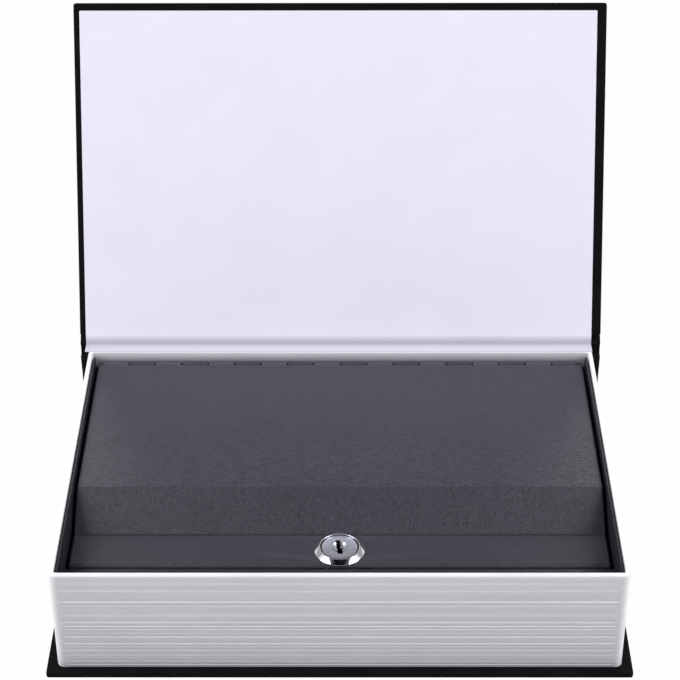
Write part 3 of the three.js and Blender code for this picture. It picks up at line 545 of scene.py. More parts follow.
# Materials
class Nodes:
    """A node tree, with short ways to add to it. Each gives back what goes on from there."""

    def __init__(self, tree):
        self.tree = tree

    def add(self, kind, links=(), **values):
        """A node with its inputs linked and its values set; in_From_Min sets the input From Min."""
        node = self.tree.nodes.new(kind)
        for name, value in values.items():
            if name.startswith("in_"):
                node.inputs[name[3:].replace("_", " ")].default_value = value
            else:
                setattr(node, name, value)
        for socket, source in links:
            self.tree.links.new(source, node.inputs[socket])
        return node

    def maths(self, operation, *operands):
        node = self.add("ShaderNodeMath", operation=operation)
        for socket, operand in zip(node.inputs, operands):
            if isinstance(operand, float):
                socket.default_value = operand
            else:
                self.tree.links.new(operand, socket)
        return node.outputs["Value"]

    def shown_white(self, white_kind, plain, level, output):
        """White to the camera and in reflections, and the plain shade to light that falls on the safe."""
        rays = self.add("ShaderNodeLightPath").outputs
        direct = self.maths("MAXIMUM", rays["Is Camera Ray"], rays["Is Glossy Ray"])
        looked_at = self.maths("MAXIMUM", direct, rays["Is Transmission Ray"])
        share = self.maths("MULTIPLY", looked_at, level)
        white = self.add(white_kind, in_Color=(1, 1, 1, 1), in_Strength=1.0)
        mix = self.add("ShaderNodeMixShader", [(0, share), (1, plain), (2, white.outputs[0])])
        self.tree.links.new(mix.outputs["Shader"], self.tree.nodes[output].inputs["Surface"])


class Paint(Nodes):
    """A material with one shader, painted by place on the object."""

    def __init__(self, name, colour, roughness, metallic=0.0):
        self.material = bpy.data.materials.new(name)
        self.material.use_nodes = True
        super().__init__(self.material.node_tree)
        self.shader = self.tree.nodes["Principled BSDF"]
        self.set("Base Color", (*colour, 1))
        self.set("Roughness", roughness)
        self.set("Metallic", metallic)

    def set(self, socket, value):
        self.shader.inputs[socket].default_value = value

    @cached_property
    def place(self):
        return self.add("ShaderNodeTexCoord").outputs["Object"]

    def axis(self, letter, place=None):
        return self.add("ShaderNodeSeparateXYZ", [("Vector", place or self.place)]).outputs[letter]

    def stretched(self, scale, place=None):
        node = self.add("ShaderNodeMapping", [("Vector", place or self.place)], in_Scale=scale)
        return node.outputs["Vector"]

    def noise(self, scale, detail=3.0, roughness=0.5, distortion=0.0, place=None):
        node = self.add(
            "ShaderNodeTexNoise", [("Vector", place or self.place)],
            in_Scale=scale, in_Detail=detail, in_Roughness=roughness, in_Distortion=distortion,
        )
        return node.outputs["Fac"]

    def spread(self, source, low, high, out_low=0.0, out_high=1.0):
        node = self.add(
            "ShaderNodeMapRange", [("Value", source)],
            in_From_Min=low, in_From_Max=high, in_To_Min=out_low, in_To_Max=out_high,
        )
        return node.outputs["Result"]

    def mix(self, factor, first, second):
        node = self.add("ShaderNodeMix", [(0, factor)], data_type="RGBA")
        for index, value in ((6, first), (7, second)):
            if isinstance(value, tuple):
                node.inputs[index].default_value = (*value, 1)
            else:
                self.tree.links.new(value, node.inputs[index])
        return node.outputs[2]

    def worn_edges(self, sharp=0.53, sharpest=0.62):
        """How much the surface turns round an outer edge."""
        pointiness = self.add("ShaderNodeNewGeometry").outputs["Pointiness"]
        return self.spread(pointiness, sharp, sharpest)

    def finish(self, colour, roughness, heights):
        """Links the colour, the roughness if it varies, and stacked bumps of height, depth and strength."""
        normal = None
        for height, depth, strength in heights:
            links = [("Height", height)]
            if normal is not None:
                links.append(("Normal", normal))
            node = self.add("ShaderNodeBump", links, in_Distance=depth, in_Strength=strength)
            normal = node.outputs["Normal"]
        self.tree.links.new(normal, self.shader.inputs["Normal"])
        self.tree.links.new(colour, self.shader.inputs["Base Color"])
        if roughness is not None:
            self.tree.links.new(roughness, self.shader.inputs["Roughness"])
        return self.material


def book_cloth():
    paint = Paint("book_cloth", (0.0042, 0.0041, 0.0046), 0.7)
    paint.set("Specular IOR Level", 0.04)
    cells = paint.add("ShaderNodeTexVoronoi", [("Vector", paint.place)], feature="SMOOTH_F1", in_Scale=1500.0)
    pebbles = cells.outputs["Distance"]
    fibres = paint.noise(4200.0, 4.0, 0.6)
    patches = paint.noise(60.0)
    tint = paint.mix(paint.spread(patches, 0.35, 0.7), (0.0032, 0.0031, 0.0035), (0.006, 0.0058, 0.0066))
    rubbed = paint.mix(paint.worn_edges(), tint, (0.012, 0.0117, 0.013))
    roughness = paint.spread(patches, 0.3, 0.75, 0.62, 0.76)
    return paint.finish(rubbed, roughness, [(pebbles, 0.06 * MM, 0.7), (fibres, 0.02 * MM, 0.5)])


def greyboard():
    paint = Paint("greyboard", (0.265, 0.236, 0.195), 0.92)
    fibres = paint.noise(900.0, 6.0, 0.65, place=paint.stretched((1, 3, 6)))
    flecks = paint.noise(350.0, 2.0)
    tint = paint.mix(fibres, (0.2, 0.18, 0.15), (0.33, 0.3, 0.25))
    speckled = paint.mix(paint.spread(flecks, 0.62, 0.7), tint, (0.12, 0.11, 0.1))
    return paint.finish(speckled, None, [(fibres, 0.05 * MM, 0.6)])


def endpaper():
    paint = Paint("endpaper", (0.745, 0.74, 0.85), 0.8)
    paint.set("Specular IOR Level", 0.2)
    cloud = paint.noise(38.0, 4.0, 0.55)
    fibres = paint.noise(1400.0, 5.0, 0.6, place=paint.stretched((1, 2.2, 2.2)))
    tint = paint.mix(paint.spread(cloud, 0.3, 0.7), (0.732, 0.727, 0.838), (0.756, 0.751, 0.862))
    mottled = paint.mix(paint.spread(fibres, 0.6, 0.8, 0.0, 0.25), tint, (0.69, 0.685, 0.8))
    # Painted shade in the joint's gutter, from values stored on the paper strip
    painted_gutter_shade = paint.add("ShaderNodeAttribute", attribute_name=GUTTER_SHADE).outputs["Fac"]
    shaded = paint.mix(painted_gutter_shade, mottled, (0.2, 0.196, 0.245))
    roughness = paint.spread(fibres, 0.3, 0.7, 0.74, 0.86)
    return paint.finish(shaded, roughness, [(cloud, 0.12 * MM, 0.12), (fibres, 0.015 * MM, 0.45)])


def page_plastic():
    """White plastic with page lines, painted shade towards its foot and behind the lid, and painted light at
    its ends.
    """
    paint = Paint("page_plastic", (0.83, 0.82, 0.865), 0.42)
    paint.set("Subsurface Weight", 0.12)
    paint.set("Subsurface Radius", (0.6 * MM, 0.55 * MM, 0.5 * MM))
    paint.set("Subsurface Scale", 1.0)
    cloud = paint.noise(45.0)
    lines = paint.noise(2600.0, 2.0, place=paint.stretched((0.02, 0.02, 1)))
    gatherings = paint.noise(420.0, 1.0, place=paint.stretched((0.02, 0.02, 1)))
    peel = paint.noise(1500.0, 2.0)
    height = paint.axis("Z")
    tint = paint.mix(paint.spread(cloud, 0.3, 0.7), (0.815, 0.806, 0.85), (0.842, 0.833, 0.878))
    lined = paint.mix(paint.spread(lines, 0.35, 0.75, 0.0, 0.3), tint, (0.62, 0.61, 0.655))
    banded = paint.mix(paint.spread(gatherings, 0.35, 0.65, 0.0, 0.3), lined, (0.64, 0.63, 0.675))
    # Painted shade: darker towards the block's foot, with a darker band at the foot itself
    shaded_downward = paint.mix(paint.spread(height, rim_z - 4 * MM, 0.0, 0.0, 0.55), banded, (0.5, 0.49, 0.545))
    foot_shaded = paint.mix(paint.spread(height, 4.7 * MM, 4.1 * MM, 0.0, 0.36), shaded_downward, (0.4, 0.41, 0.46))
    # Painted light: lighter towards the block's left and right ends
    offside = paint.maths("ABSOLUTE", paint.axis("X"))
    corner = paint.spread(offside, block_high.x - 3.4 * MM, block_high.x - 1.0 * MM, 0.0, 0.9)
    ends_lit = paint.mix(corner, foot_shaded, (0.95, 0.945, 0.96))
    inner_y = block_high.y - BLOCK_REAR_WALL
    behind = paint.spread(paint.axis("Y"), inner_y - 0.5 * MM, inner_y - 0.1 * MM)
    sunk = paint.spread(height, rim_z - 0.2 * MM, rim_z - 4.6 * MM, 0.0, 0.85)
    shaded = paint.mix(paint.maths("MULTIPLY", behind, sunk), ends_lit, (0.2, 0.19, 0.25))
    return paint.finish(shaded, paint.spread(peel, 0.3, 0.7, 0.36, 0.5), [(peel, 0.02 * MM, 0.3)])


def powder_coat(name, shade, gloss):
    """Baked crinkle paint in one shade of a faintly violet grey, with painted shade in its hollows, towards
    the front and in the lid's inner fold, and painted light and shade in strokes on the plate.
    """
    def grey(level):
        return (shade * level, shade * level * 0.935, shade * level * 1.26)

    paint = Paint(name, grey(1), 0.4)
    paint.set("Specular IOR Level", gloss)
    wrinkles = paint.noise(640.0, 4.0, 0.6, 1.2)
    peel = paint.noise(420.0, 2.0)
    specks = paint.noise(3600.0, 2.0)
    rearward = paint.axis("Y")
    mottled = paint.mix(paint.spread(paint.noise(24.0), 0.3, 0.7), grey(0.95), grey(1.06))
    # Painted shade: darker towards the front
    tint = paint.mix(paint.spread(rearward, 0.0, lid_front, 0.0, 0.35), mottled, grey(0.5))
    # Painted shade: a dark line along the fold between the shelf and the riser
    from_fold = paint.maths("ABSOLUTE", paint.maths("SUBTRACT", rearward, shelf_rear - 0.9 * MM))
    fold_shaded = paint.mix(paint.spread(from_fold, 0.8 * MM, 0.2 * MM, 0.0, 0.8), tint, grey(0.1))

    # Painted light and shade of the crinkle's strokes, lighter crests and darker troughs, on the flat plate
    # alone and stronger towards its front edge
    strokes = paint.noise(820.0, 2.0, 0.5, 1.2, place=paint.stretched((0.5, 1, 1)))
    nearing = paint.spread(rearward, riser_rear + 60 * MM, riser_rear, 0.35, 1.0)
    on_plate = paint.spread(rearward, riser_rear - 0.5 * MM, riser_rear + 0.5 * MM)
    shown = paint.maths("MULTIPLY", nearing, on_plate)
    stroke_shadows = paint.maths("MULTIPLY", shown, paint.spread(strokes, 0.5, 0.38, 0.0, 0.8))
    stroke_highlights = paint.maths("MULTIPLY", shown, paint.spread(strokes, 0.5, 0.62, 0.0, 0.8))
    stroked = paint.mix(stroke_highlights, paint.mix(stroke_shadows, fold_shaded, grey(0.55)), grey(1.35))

    # Painted shade in the hollows of the wrinkles that the bump also raises
    hollows_shaded = paint.mix(paint.spread(wrinkles, 0.34, 0.56, 0.42, 0.0), stroked, grey(0.4))
    speckled = paint.mix(paint.spread(specks, 0.58, 0.75, 0.0, 0.6), hollows_shaded, grey(1.4))
    rubbed = paint.mix(paint.worn_edges(0.54, 0.66), speckled, grey(1.5))
    roughness = paint.spread(wrinkles, 0.3, 0.7, 0.34, 0.46)
    return paint.finish(rubbed, roughness, [(peel, 0.08 * MM, 0.4), (wrinkles, 0.26 * MM, 0.9)])


def zinc_plate():
    paint = Paint("zinc_plate", (0.56, 0.57, 0.6), 0.34, 1.0)
    spangle = paint.noise(700.0, 3.0, 0.55)
    scratches = paint.noise(900.0, 3.0, 0.6, place=paint.stretched((1, 14, 14)))
    tint = paint.mix(spangle, (0.46, 0.47, 0.5), (0.64, 0.65, 0.67))
    return paint.finish(tint, paint.spread(spangle, 0.3, 0.7, 0.26, 0.44), [(scratches, 0.01 * MM, 0.3)])


def polished_chrome():
    paint = Paint("polished_chrome", (0.78, 0.79, 0.82), 0.08, 1.0)
    haze = paint.noise(260.0)
    marks = paint.noise(2400.0, 2.0)
    tint = paint.mix(haze, (0.74, 0.75, 0.78), (0.82, 0.83, 0.85))
    return paint.finish(tint, paint.spread(haze, 0.3, 0.75, 0.05, 0.13), [(marks, 0.002 * MM, 0.2)])


def satin_chrome():
    """Satin metal with turning marks round the lock's axis, and painted shade down the keyway."""
    paint = Paint("satin_chrome", (0.56, 0.565, 0.64), 0.34, 1.0)
    centring = paint.add("ShaderNodeMapping", [("Vector", paint.place)], in_Location=-lock_place)
    centred = centring.outputs["Vector"]
    rings = paint.add(
        "ShaderNodeTexWave", [("Vector", centred)],
        wave_type="RINGS", rings_direction="Z", in_Scale=1400.0, in_Distortion=2.0, in_Detail=2.0,
    ).outputs["Fac"]
    haze = paint.noise(500.0)
    tint = paint.mix(haze, (0.52, 0.525, 0.595), (0.61, 0.615, 0.69))
    flat = paint.stretched((1, 1, 0), centred)
    from_axis = paint.add("ShaderNodeVectorMath", [(0, flat)], operation="LENGTH").outputs["Value"]
    # Painted shade: the plug is near black below the dish's floor, down the keyway
    dish_floor = plug_top - DISH_DEPTH
    below = paint.spread(paint.axis("Z", centred), dish_floor - 0.05 * MM, dish_floor - 0.35 * MM)
    within = paint.spread(from_axis, 4.7 * MM, 4.5 * MM)
    keyway_shaded = paint.mix(paint.maths("MULTIPLY", below, within), tint, (0.012, 0.012, 0.013))
    roughness = paint.spread(haze, 0.3, 0.7, 0.24, 0.36)
    return paint.finish(keyway_shaded, roughness, [(rings, 0.004 * MM, 0.3), (haze, 0.01 * MM, 0.15)])


def stamped_brass():
    paint = Paint("stamped_brass", (0.24, 0.165, 0.065), 0.4, 1.0)
    tarnish = paint.noise(600.0, 4.0, 0.6)
    tint = paint.mix(tarnish, (0.18, 0.12, 0.045), (0.3, 0.21, 0.085))
    return paint.finish(tint, paint.spread(tarnish, 0.3, 0.7, 0.24, 0.42), [(tarnish, 0.01 * MM, 0.3)])


# Near-black material of the ring that stands in for the shaded gap round the plug
def gap_shade_black():
    paint = Paint("gap_shade_black", (0.012, 0.012, 0.013), 0.6)
    paint.set("Specular IOR Level", 0.2)
    dust = paint.noise(1800.0, 3.0, 0.55)
    tint = paint.mix(paint.spread(dust, 0.4, 0.75), (0.01, 0.01, 0.011), (0.022, 0.022, 0.024))
    return paint.finish(tint, None, [(dust, 0.01 * MM, 0.4)])


# Looks: a material and the record's slot
dark_coat = powder_coat("powder_coat_box", 0.016, 0.25)
CLOTH_LOOK = (book_cloth(), "leatherette")
BOARD_LOOK = (greyboard(), "greyboard")
PAPER_LOOK = (endpaper(), "endpaper")
PLASTIC_LOOK = (page_plastic(), "white_plastic")
COAT_LOOK = (powder_coat("powder_coat", 0.0425, 0.38), "powder_coat")
BOX_LOOK = (dark_coat, "powder_coat")
PIN_LOOK = (dark_coat, "zinc_steel")
ZINC_LOOK = (zinc_plate(), "zinc_steel")
CHROME_LOOK = (polished_chrome(), "chrome")
GAP_SHADE_LOOK = (gap_shade_black(), "chrome")
SATIN_LOOK = (satin_chrome(), "satin_chrome")
BRASS_LOOK = (stamped_brass(), "brass")


# Case
def cover_board_shell():
    edge = CLOTH + GLUE
    low = (-half_length + edge, fore_y + edge)
    high = (half_length - edge, board_rear - edge)
    rise = [(BOARD_EDGE, 0), (0, BOARD_EDGE), (0, BOARD - BOARD_EDGE), (BOARD_EDGE, BOARD)]
    return loft([rounded_ring(low, high, inset, BOARD_CORNER, edge + z) for inset, z in rise])


def cover_wrap_shell():
    """Cloth from the middle of a board's outer face, round its edge to the turned-in window, and back."""
    edge = COVER_EDGE_ROUND
    top = cover_thickness
    inner = CLOTH + CLOTH_EDGE
    path = [(COVER_FACE_INSET, 0, 0)]
    path += [(inset, z, 0) for inset, z in arc(edge, edge, edge, -1, -2, 6)]
    path += [(inset, z, 0) for inset, z in arc(edge, top - edge, edge, 2, 1, 6)]
    path += [
        (FOLD_DIP_START, top, FOLD_DIP), (TURN_IN - 2 * TURN_IN_EDGE, top, FOLD_DIP),
        (TURN_IN, top - TURN_IN_EDGE, 0), (TURN_IN, top - CLOTH, 0),
        (inner, top - CLOTH, 0), (CLOTH, top - inner, 0), (CLOTH, inner, 0), (inner, CLOTH, 0),
        (COVER_FACE_INSET, CLOTH, 0),
    ]
    low = (-half_length, fore_y)
    high = (half_length, board_rear)
    return loft([rounded_ring(low, high, inset, COVER_CORNER_ROUND, z, dip) for inset, z, dip in path])


def cover(prefix, body, place):
    board = cover_board_shell()
    cloth = cover_wrap_shell()
    dress(prefix + "_board", body, prefix + "_board_grey", [board], BOARD_LOOK, place=place)
    dress(prefix + "_cover_wrap", body, prefix + "_cover_cloth", [cloth], CLOTH_LOOK, place=place)


def front_endpaper():
    """Paper pasted inside the standing cover, drawn on the closed cover and carried with it."""
    vertices = frame["nodes"]["front_endpaper"].data.vertices
    corners = [standing.inverted() @ vertex.co for vertex in vertices]
    low = Vector([min(corner[k] for corner in corners) for k in range(3)])
    high = Vector([max(corner[k] for corner in corners) for k in range(3)])
    edge = PAPER_EDGE
    rise = [(edge, high.z), (0, high.z - edge), (0, low.z + edge), (edge, low.z)]
    shell = loft([rounded_ring(low, high, inset, PAPER_CORNER, z) for inset, z in rise])
    dress("front_endpaper", "front_cover", "endpaper_sheet", [shell], PAPER_LOOK, place=standing)


def spine_arc(gap, low_z, high_z, steps=32):
    """The spine's curve, a gap inside its outer face."""
    middle = closed_top / 2
    reach = spine_top - middle
    points = []
    for i in range(steps + 1):
        z = low_z + (high_z - low_z) * i / steps
        points.append(Vector((spine_y - gap - SPINE_BULGE * ((z - middle) / reach) ** 2, z)))
    return points


def spine():
    """Cloth from the back board through the groove and up the rounded spine, turned in at both ends."""
    half = CLOTH / 2
    start = board_rear + GLUE
    rise = spine_arc(half, SPINE_FOOT, spine_top)
    groove = [
        (start, half),
        (start + 0.15 * GROOVE_WIDTH, half),
        (start + 0.4 * GROOVE_WIDTH, GROOVE_DEPTH),
        (start + 0.6 * GROOVE_WIDTH, GROOVE_DEPTH),
        (start + GROOVE_WIDTH, half),
        (rise[0].x, half, SHOULDER_RADIUS),
        (rise[0].x, SPINE_FOOT),
    ]
    line = bent_line(groove, GROOVE_BEND) + rise[1:]
    shells = [sweep(sheet_profile(half_length, CLOTH, CLOTH_EDGE), line)]
    board_middle = CLOTH + GLUE + BOARD / 2
    lining_line = spine_arc(2 * (CLOTH + GLUE) + BOARD - half, SPINE_FOOT, spine_top)
    lining = sheet_outline(lining_line, CLOTH)
    cap = sheet_outline(spine_arc(board_middle, SPINE_FOOT, spine_top), BOARD + 2 * GLUE + CLOTH)
    for side in (-1, 1):
        for outline, depth in ((lining, TURN_IN), (cap, CLOTH)):
            ends = sorted((side * half_length, side * (half_length - depth)))
            shells.append(prism(outline, *ends))
    top_front = lining_line[-1].x - half
    shells.append(slab((-half_length, top_front, spine_top - CLOTH), (half_length, rise[-1].x, spine_top)))
    dress("spine_wrap", "book", "spine_cloth", shells, CLOTH_LOOK)
    board_line = spine_arc(board_middle, SPINE_FOOT, spine_top - CLOTH - GLUE)
    board = sweep(sheet_profile(half_length - CLOTH - GLUE, BOARD, BOARD_EDGE), board_line)
    dress("spine_board", "book", "spine_board_grey", [board], BOARD_LOOK)


# Cover's flexible joint
def on_cover(reach, lift):
    """A place on the standing cover, as reach from the hinge line along it and lift off it."""
    return (
        cover_axis.y - reach * math.cos(cover_opening) + lift * math.sin(cover_opening),
        cover_axis.z + reach * math.sin(cover_opening) + lift * math.cos(cover_opening),
    )


def joint_cloth():
    half = CLOTH / 2
    axis = cover_axis.yz
    foot = Vector((spine_arc(half, SPINE_FOOT, spine_top)[-1].x, spine_top + JOINT_FOOT_GAP)) - axis
    foot_angle = math.atan2(foot.y, foot.x)
    line = []
    for i in range(JOINT_STEPS + 1):
        share = i / JOINT_STEPS
        angle = foot_angle + (SHOULDER_END - foot_angle) * share
        radius = foot.length + (SHOULDER_RADIUS - foot.length) * share
        line.append(axis + Vector((radius * math.cos(angle), radius * math.sin(angle))))
    line.append(Vector(on_cover(cover_axis.y - board_rear - GLUE, closed_top - cover_axis.z - half)))
    shell = sweep(sheet_profile(half_length, CLOTH, CLOTH_EDGE), divided(line, JOINT_STEP))
    piece = make("joint_cloth", [shell], CLOTH_LOOK)
    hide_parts("cover_joint_cloth")
    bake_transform(piece)


def joint_paper():
    half = PAPER / 2
    seat = rim_z + GLUE + half
    reach = cover_axis.y - board_rear
    lift = AXIS_BELOW_COVER + half
    crease_y = cover_axis.y + CREASE_BEHIND_AXIS
    corners = [
        (block_high.y - BLOCK_REAR_WALL + RIM_INNER_ROUND, seat),
        (crease_y, seat),
        on_cover(reach, lift),
        on_cover(reach + PAPER_OVERLAP + 2 * GLUE, lift - LAP),
    ]
    line = divided(bent_line(corners, CREASE_BEND), JOINT_STEP)
    middle = (paper_low.x + paper_high.x) / 2
    half_width = (paper_high.x - paper_low.x) / 2
    profile = [(middle + across, rise) for across, rise in sheet_profile(half_width, PAPER, PAPER_EDGE)]
    piece = make("joint_paper", [sweep(profile, line)], PAPER_LOOK)
    gutter_shade(piece, line, len(profile), corners)
    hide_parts("cover_joint_paper")
    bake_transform(piece)


def gutter_shade(piece, line, ring_size, corners):
    """Stores how much painted shade the paper takes at each point: most in the crease, none where it meets
    the board.
    """
    flat, crease, board = (Vector(corner) for corner in corners[:3])
    shades = piece.data.attributes.new(GUTTER_SHADE, "FLOAT", "POINT")
    for i, value in enumerate(shades.data):
        point = line[i // ring_size]
        if point.x < crease.x - 0.01 * MM and point.y < crease.y + 0.3 * MM:
            near = 1 - (crease.x - point.x) / (crease.x - flat.x)
            value.value = FLAT_SHADE + CREASE_SHADE * near ** 3
        else:
            rise = min(max((point.y - crease.y) / (board.y - crease.y), 0), 1)
            value.value = RISING_SHADE * (1 - rise ** 2) ** 1.3


# Page block
def block_outline():
    """Points round the block with their outward direction and how much of the page ledges shows there."""
    x0, x1 = block_low.x, block_high.x
    y0, y1 = block_low.y, block_high.y
    front, rear = BLOCK_CORNER, BLOCK_REAR_CORNER
    points = []

    def corner(x, y, radius, quarter, steps):
        for out in arc(0, 0, 1, quarter, quarter + 1, steps):
            points.append((x + radius * out[0], y + radius * out[1], out, 0.0))

    def side(start, end, out, paged):
        heading = (Vector(end) - Vector(start)).normalized()
        for distance, share in LEDGE_FADE:
            points.append((*(Vector(start) + heading * distance), out, share * paged))
        for distance, share in reversed(LEDGE_FADE):
            points.append((*(Vector(end) - heading * distance), out, share * paged))

    corner(x1 - front, y0 + front, front, -1, 10)
    side((x1, y0 + front), (x1, y1 - rear), (1, 0), 1)
    corner(x1 - rear, y1 - rear, rear, 0, 6)
    side((x1 - rear, y1), (x0 + rear, y1), (0, 1), 0)
    corner(x0 + rear, y1 - rear, rear, 1, 6)
    side((x0, y1 - rear), (x0, y0 + front), (-1, 0), 1)
    corner(x0 + front, y0 + front, front, 2, 10)
    side((x0 + front, y0), (x1 - front, y0), (0, -1), 1)
    return points


def block_ring(outline, inset, rear_inset, z, ledge=0.0):
    ring = []
    for x, y, out, share in outline:
        depth = inset + ledge * share
        rear = rear_inset if out[1] > 0.5 else depth
        ring.append((x - depth * out[0], y - rear * out[1], z))
    return ring


def page_levels():
    """Depths below the rim and how far in the pages lie there: a ledge, then a slow way to the next."""
    shake = random.Random(7)
    edges = [drop * MM for drop in PAGE_LEDGES]
    bottom = rim_z - block_low.z
    levels = [(edges[0] - PAGE_FIRST_RISE, 0.0), (edges[0] - PAGE_LEDGE_HEIGHT, PAGE_LEDGE * 0.6)]
    for start, end in zip(edges, edges[1:] + [bottom + 1 * MM]):
        reach = shake.uniform(0.7, 1.15) * PAGE_LEDGE
        levels.append((start, 0.0))
        drop = start + 0.25 * MM
        last = min(end - PAGE_LEDGE_HEIGHT, bottom)
        while drop < last - 0.15 * MM:
            share = (drop - start) / (end - start)
            levels.append((drop, reach * share ** 1.1 + shake.uniform(0, PAGE_GRAIN)))
            drop += PAGE_GRAIN_PITCH * shake.uniform(0.7, 1.3)
        levels.append((last, reach if end <= bottom else PAGE_FOOT_INSET))
    return levels


def page_block():
    outline = block_outline()
    rings = [block_ring(outline, 0, 0, rim_z - drop, depth) for drop, depth in reversed(page_levels())]
    for inset, z in arc(RIM_ROUND, rim_z - RIM_ROUND, RIM_ROUND, 2, 1, 8):
        rings.append(block_ring(outline, inset, inset / 2, z))
    for back, z in arc(-RIM_INNER_ROUND, rim_z - RIM_INNER_ROUND, RIM_INNER_ROUND, 1, 0, 4)[1:]:
        rings.append(block_ring(outline, BLOCK_WALL + back, BLOCK_REAR_WALL + back, z))
    flange_z = block_low.z + BLOCK_FLANGE_THICKNESS
    rings.append(block_ring(outline, BLOCK_WALL, BLOCK_REAR_WALL, flange_z))
    rings.append(block_ring(outline, BLOCK_FLANGE, BLOCK_FLANGE, flange_z))
    rings.append(block_ring(outline, BLOCK_FLANGE, BLOCK_FLANGE, block_low.z))
    start = block_low.z - OVERCUT
    holes = []
    for place in rivet_places():
        holes.append(rod(RIVET_HOLE, start, flange_z + OVERCUT, 24, place))
        holes.append(rod(RIVET_TAIL_HOLE, start, block_low.z + RIVET_TAIL_DEPTH, 24, place))
    shell = loft(rings, closed=True)
    dress("page_block", "book", "page_block_moulding", [shell], PLASTIC_LOOK, cutters=holes, smooth=28)


def rivet_places():
    x = block_high.x - RIVET_INSET
    rows = (block_low.y + RIVET_INSET, block_high.y - RIVET_INSET)
    return [(side * x, y) for y in rows for side in (-1, 1)]


def rivets():
    for i, place in enumerate(rivet_places()):
        node = f"box_rivet_{i + 1}"
        low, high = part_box(node)
        tail_top = low.z + RIVET_TAIL_HEIGHT
        seat = steel_low.z + SHEET + GLUE
        dome = seat + RIVET_HEAD_EDGE
        profile = [
            (0, low.z), (RIVET_TAIL - RIVET_TAIL_EDGE, low.z), (RIVET_TAIL, low.z + RIVET_TAIL_EDGE),
            (RIVET_TAIL, tail_top), (RIVET_SHANK, tail_top), (RIVET_SHANK, seat), (RIVET_HEAD, seat),
            (RIVET_HEAD, dome),
        ]
        for across, rise in arc(0, 0, 1, 0, 1, 8)[1:]:
            profile.append((RIVET_HEAD * across, dome + (high.z - dome) * rise))
        dress(node, "book", f"rivet_{i + 1}", [turned(profile, 48, place)], ZINC_LOOK)


# Steel box
def box_side(side):
    """One side wall, its edge rounded where it shows above the lid."""
    inset = SIDE_EDGE_INSET
    front_y, rear_y = steel_low.y + inset, steel_high.y - inset
    wall = bent_line([
        (0, steel_high.z),
        (front_y, steel_high.z, SIDE_CORNER), (front_y, steel_low.z + inset),
        (rear_y, steel_low.z + inset), (rear_y, steel_high.z, SIDE_CORNER),
        (0.1 * MM, steel_high.z),
    ], BEND)
    inner = side * (steel_high.x - SHEET)
    outer = side * steel_high.x
    edge = SIDE_EDGE_ROUND
    near = edge * 0.3
    across = [
        (inner, edge), (inner + side * near, near), (inner + side * edge, 0),
        (outer - side * edge, 0), (outer - side * near, near), (outer, edge),
    ]
    marks = outward_stations(wall)
    return loft([[(x, *(point - out * shrink)) for point, out in marks] for x, shrink in across])


def steel_box():
    half = SHEET / 2
    ledge_rear = steel_low.y + LEDGE_WIDTH
    line = bent_line([
        (ledge_rear - half, shelf_z - LEDGE_LIP),
        (ledge_rear - half, shelf_z - half),
        (steel_low.y + half, shelf_z - half),
        (steel_low.y + half, steel_low.z + half),
        (steel_high.y - half, steel_low.z + half),
        (steel_high.y - half, barrel_foot),
    ], BEND)
    shells = [sweep(sheet_profile(steel_high.x - half, SHEET, SHEET_EDGE), line), box_side(-1), box_side(1)]
    tab_z = shelf_z - REST_TAB_DROP
    for centre in (-REST_TAB_X, REST_TAB_X):
        shells.append(slab(
            (centre - REST_TAB_WIDTH / 2, ledge_rear - SHEET * 0.8, tab_z - SHEET),
            (centre + REST_TAB_WIDTH / 2, ledge_rear + REST_TAB_LENGTH, tab_z)))
    holes = []
    for place in rivet_places():
        holes.append(rod(RIVET_HOLE, steel_low.z - OVERCUT, steel_low.z + 2 * SHEET, 24, place))
    dress("steel_box", "book", "steel_box_folded", shells, BOX_LOOK, cutters=holes)


# Piano hinge
def on_hinge(profile, sides):
    """Rings round the hinge's axis, from pairs of radius and place along it."""
    rings = []
    for radius, x in profile:
        rings.append([(x, lid_axis.y + a, lid_axis.z + b) for a, b in circle(radius, sides)])
    return rings


def knuckles(first, tongue, shy):
    """Every second barrel of the hinge, each with the tongue of sheet that it is rolled from."""
    pitch = HINGE_LENGTH / KNUCKLE_COUNT
    shells = []
    for index in range(first, KNUCKLE_COUNT, 2):
        start = -HINGE_LENGTH / 2 + index * pitch + KNUCKLE_GAP / 2
        end = start + pitch - KNUCKLE_GAP
        profile = [
            (KNUCKLE_BORE, start), (KNUCKLE_RADIUS - KNUCKLE_EDGE, start),
            (KNUCKLE_RADIUS, start + KNUCKLE_EDGE), (KNUCKLE_RADIUS, end - KNUCKLE_EDGE),
            (KNUCKLE_RADIUS - KNUCKLE_EDGE, end), (KNUCKLE_BORE, end),
        ]
        shells += [loft(on_hinge(profile, 40), closed=True), prism(tongue, start + shy, end - shy)]
    return shells


def hinge_leaf():
    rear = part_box("box_hinge_leaf")[1].y
    front = rear - LEAF
    half = HINGE_LENGTH / 2
    foot = barrel_foot - 2 * LEAF_SHY
    tongue = [
        (front, foot), (rear, foot), (rear, lid_axis.z), (rear - LEAF * 0.5, lid_axis.z),
        (front, lid_axis.z - KNUCKLE_RADIUS * 0.9),
    ]
    leaf = slab((-half, front, barrel_foot - LEAF_HEIGHT), (half, rear, barrel_foot - LEAF_SHY))
    dress("box_hinge_leaf", "book", "hinge_leaf", [leaf] + knuckles(1, tongue, LEAF_SHY), COAT_LOOK)
    reach = half + PIN_REACH
    profile = [
        (PIN_END_RADIUS, -reach), (PIN_RADIUS, -reach + PIN_END),
        (PIN_RADIUS, reach - PIN_END), (PIN_END_RADIUS, reach),
    ]
    dress("hinge_pin", "book", "hinge_pin_rod", [loft(on_hinge(profile, 32))], PIN_LOOK)


# Lid
def lid_sheet_profile(half):
    """Across the lid: flat, with both side edges rolled down round the bend."""
    x = half - BEND
    y = SHEET / 2 - BEND
    inner = BEND - SHEET
    outside = arc(x, y, BEND, 0, 1, 8) + arc(-x, y, BEND, 1, 2, 8)
    inside = arc(-x, y, inner, 2, 1, 4) + arc(x, y, inner, 1, 0, 4)
    return outside + inside


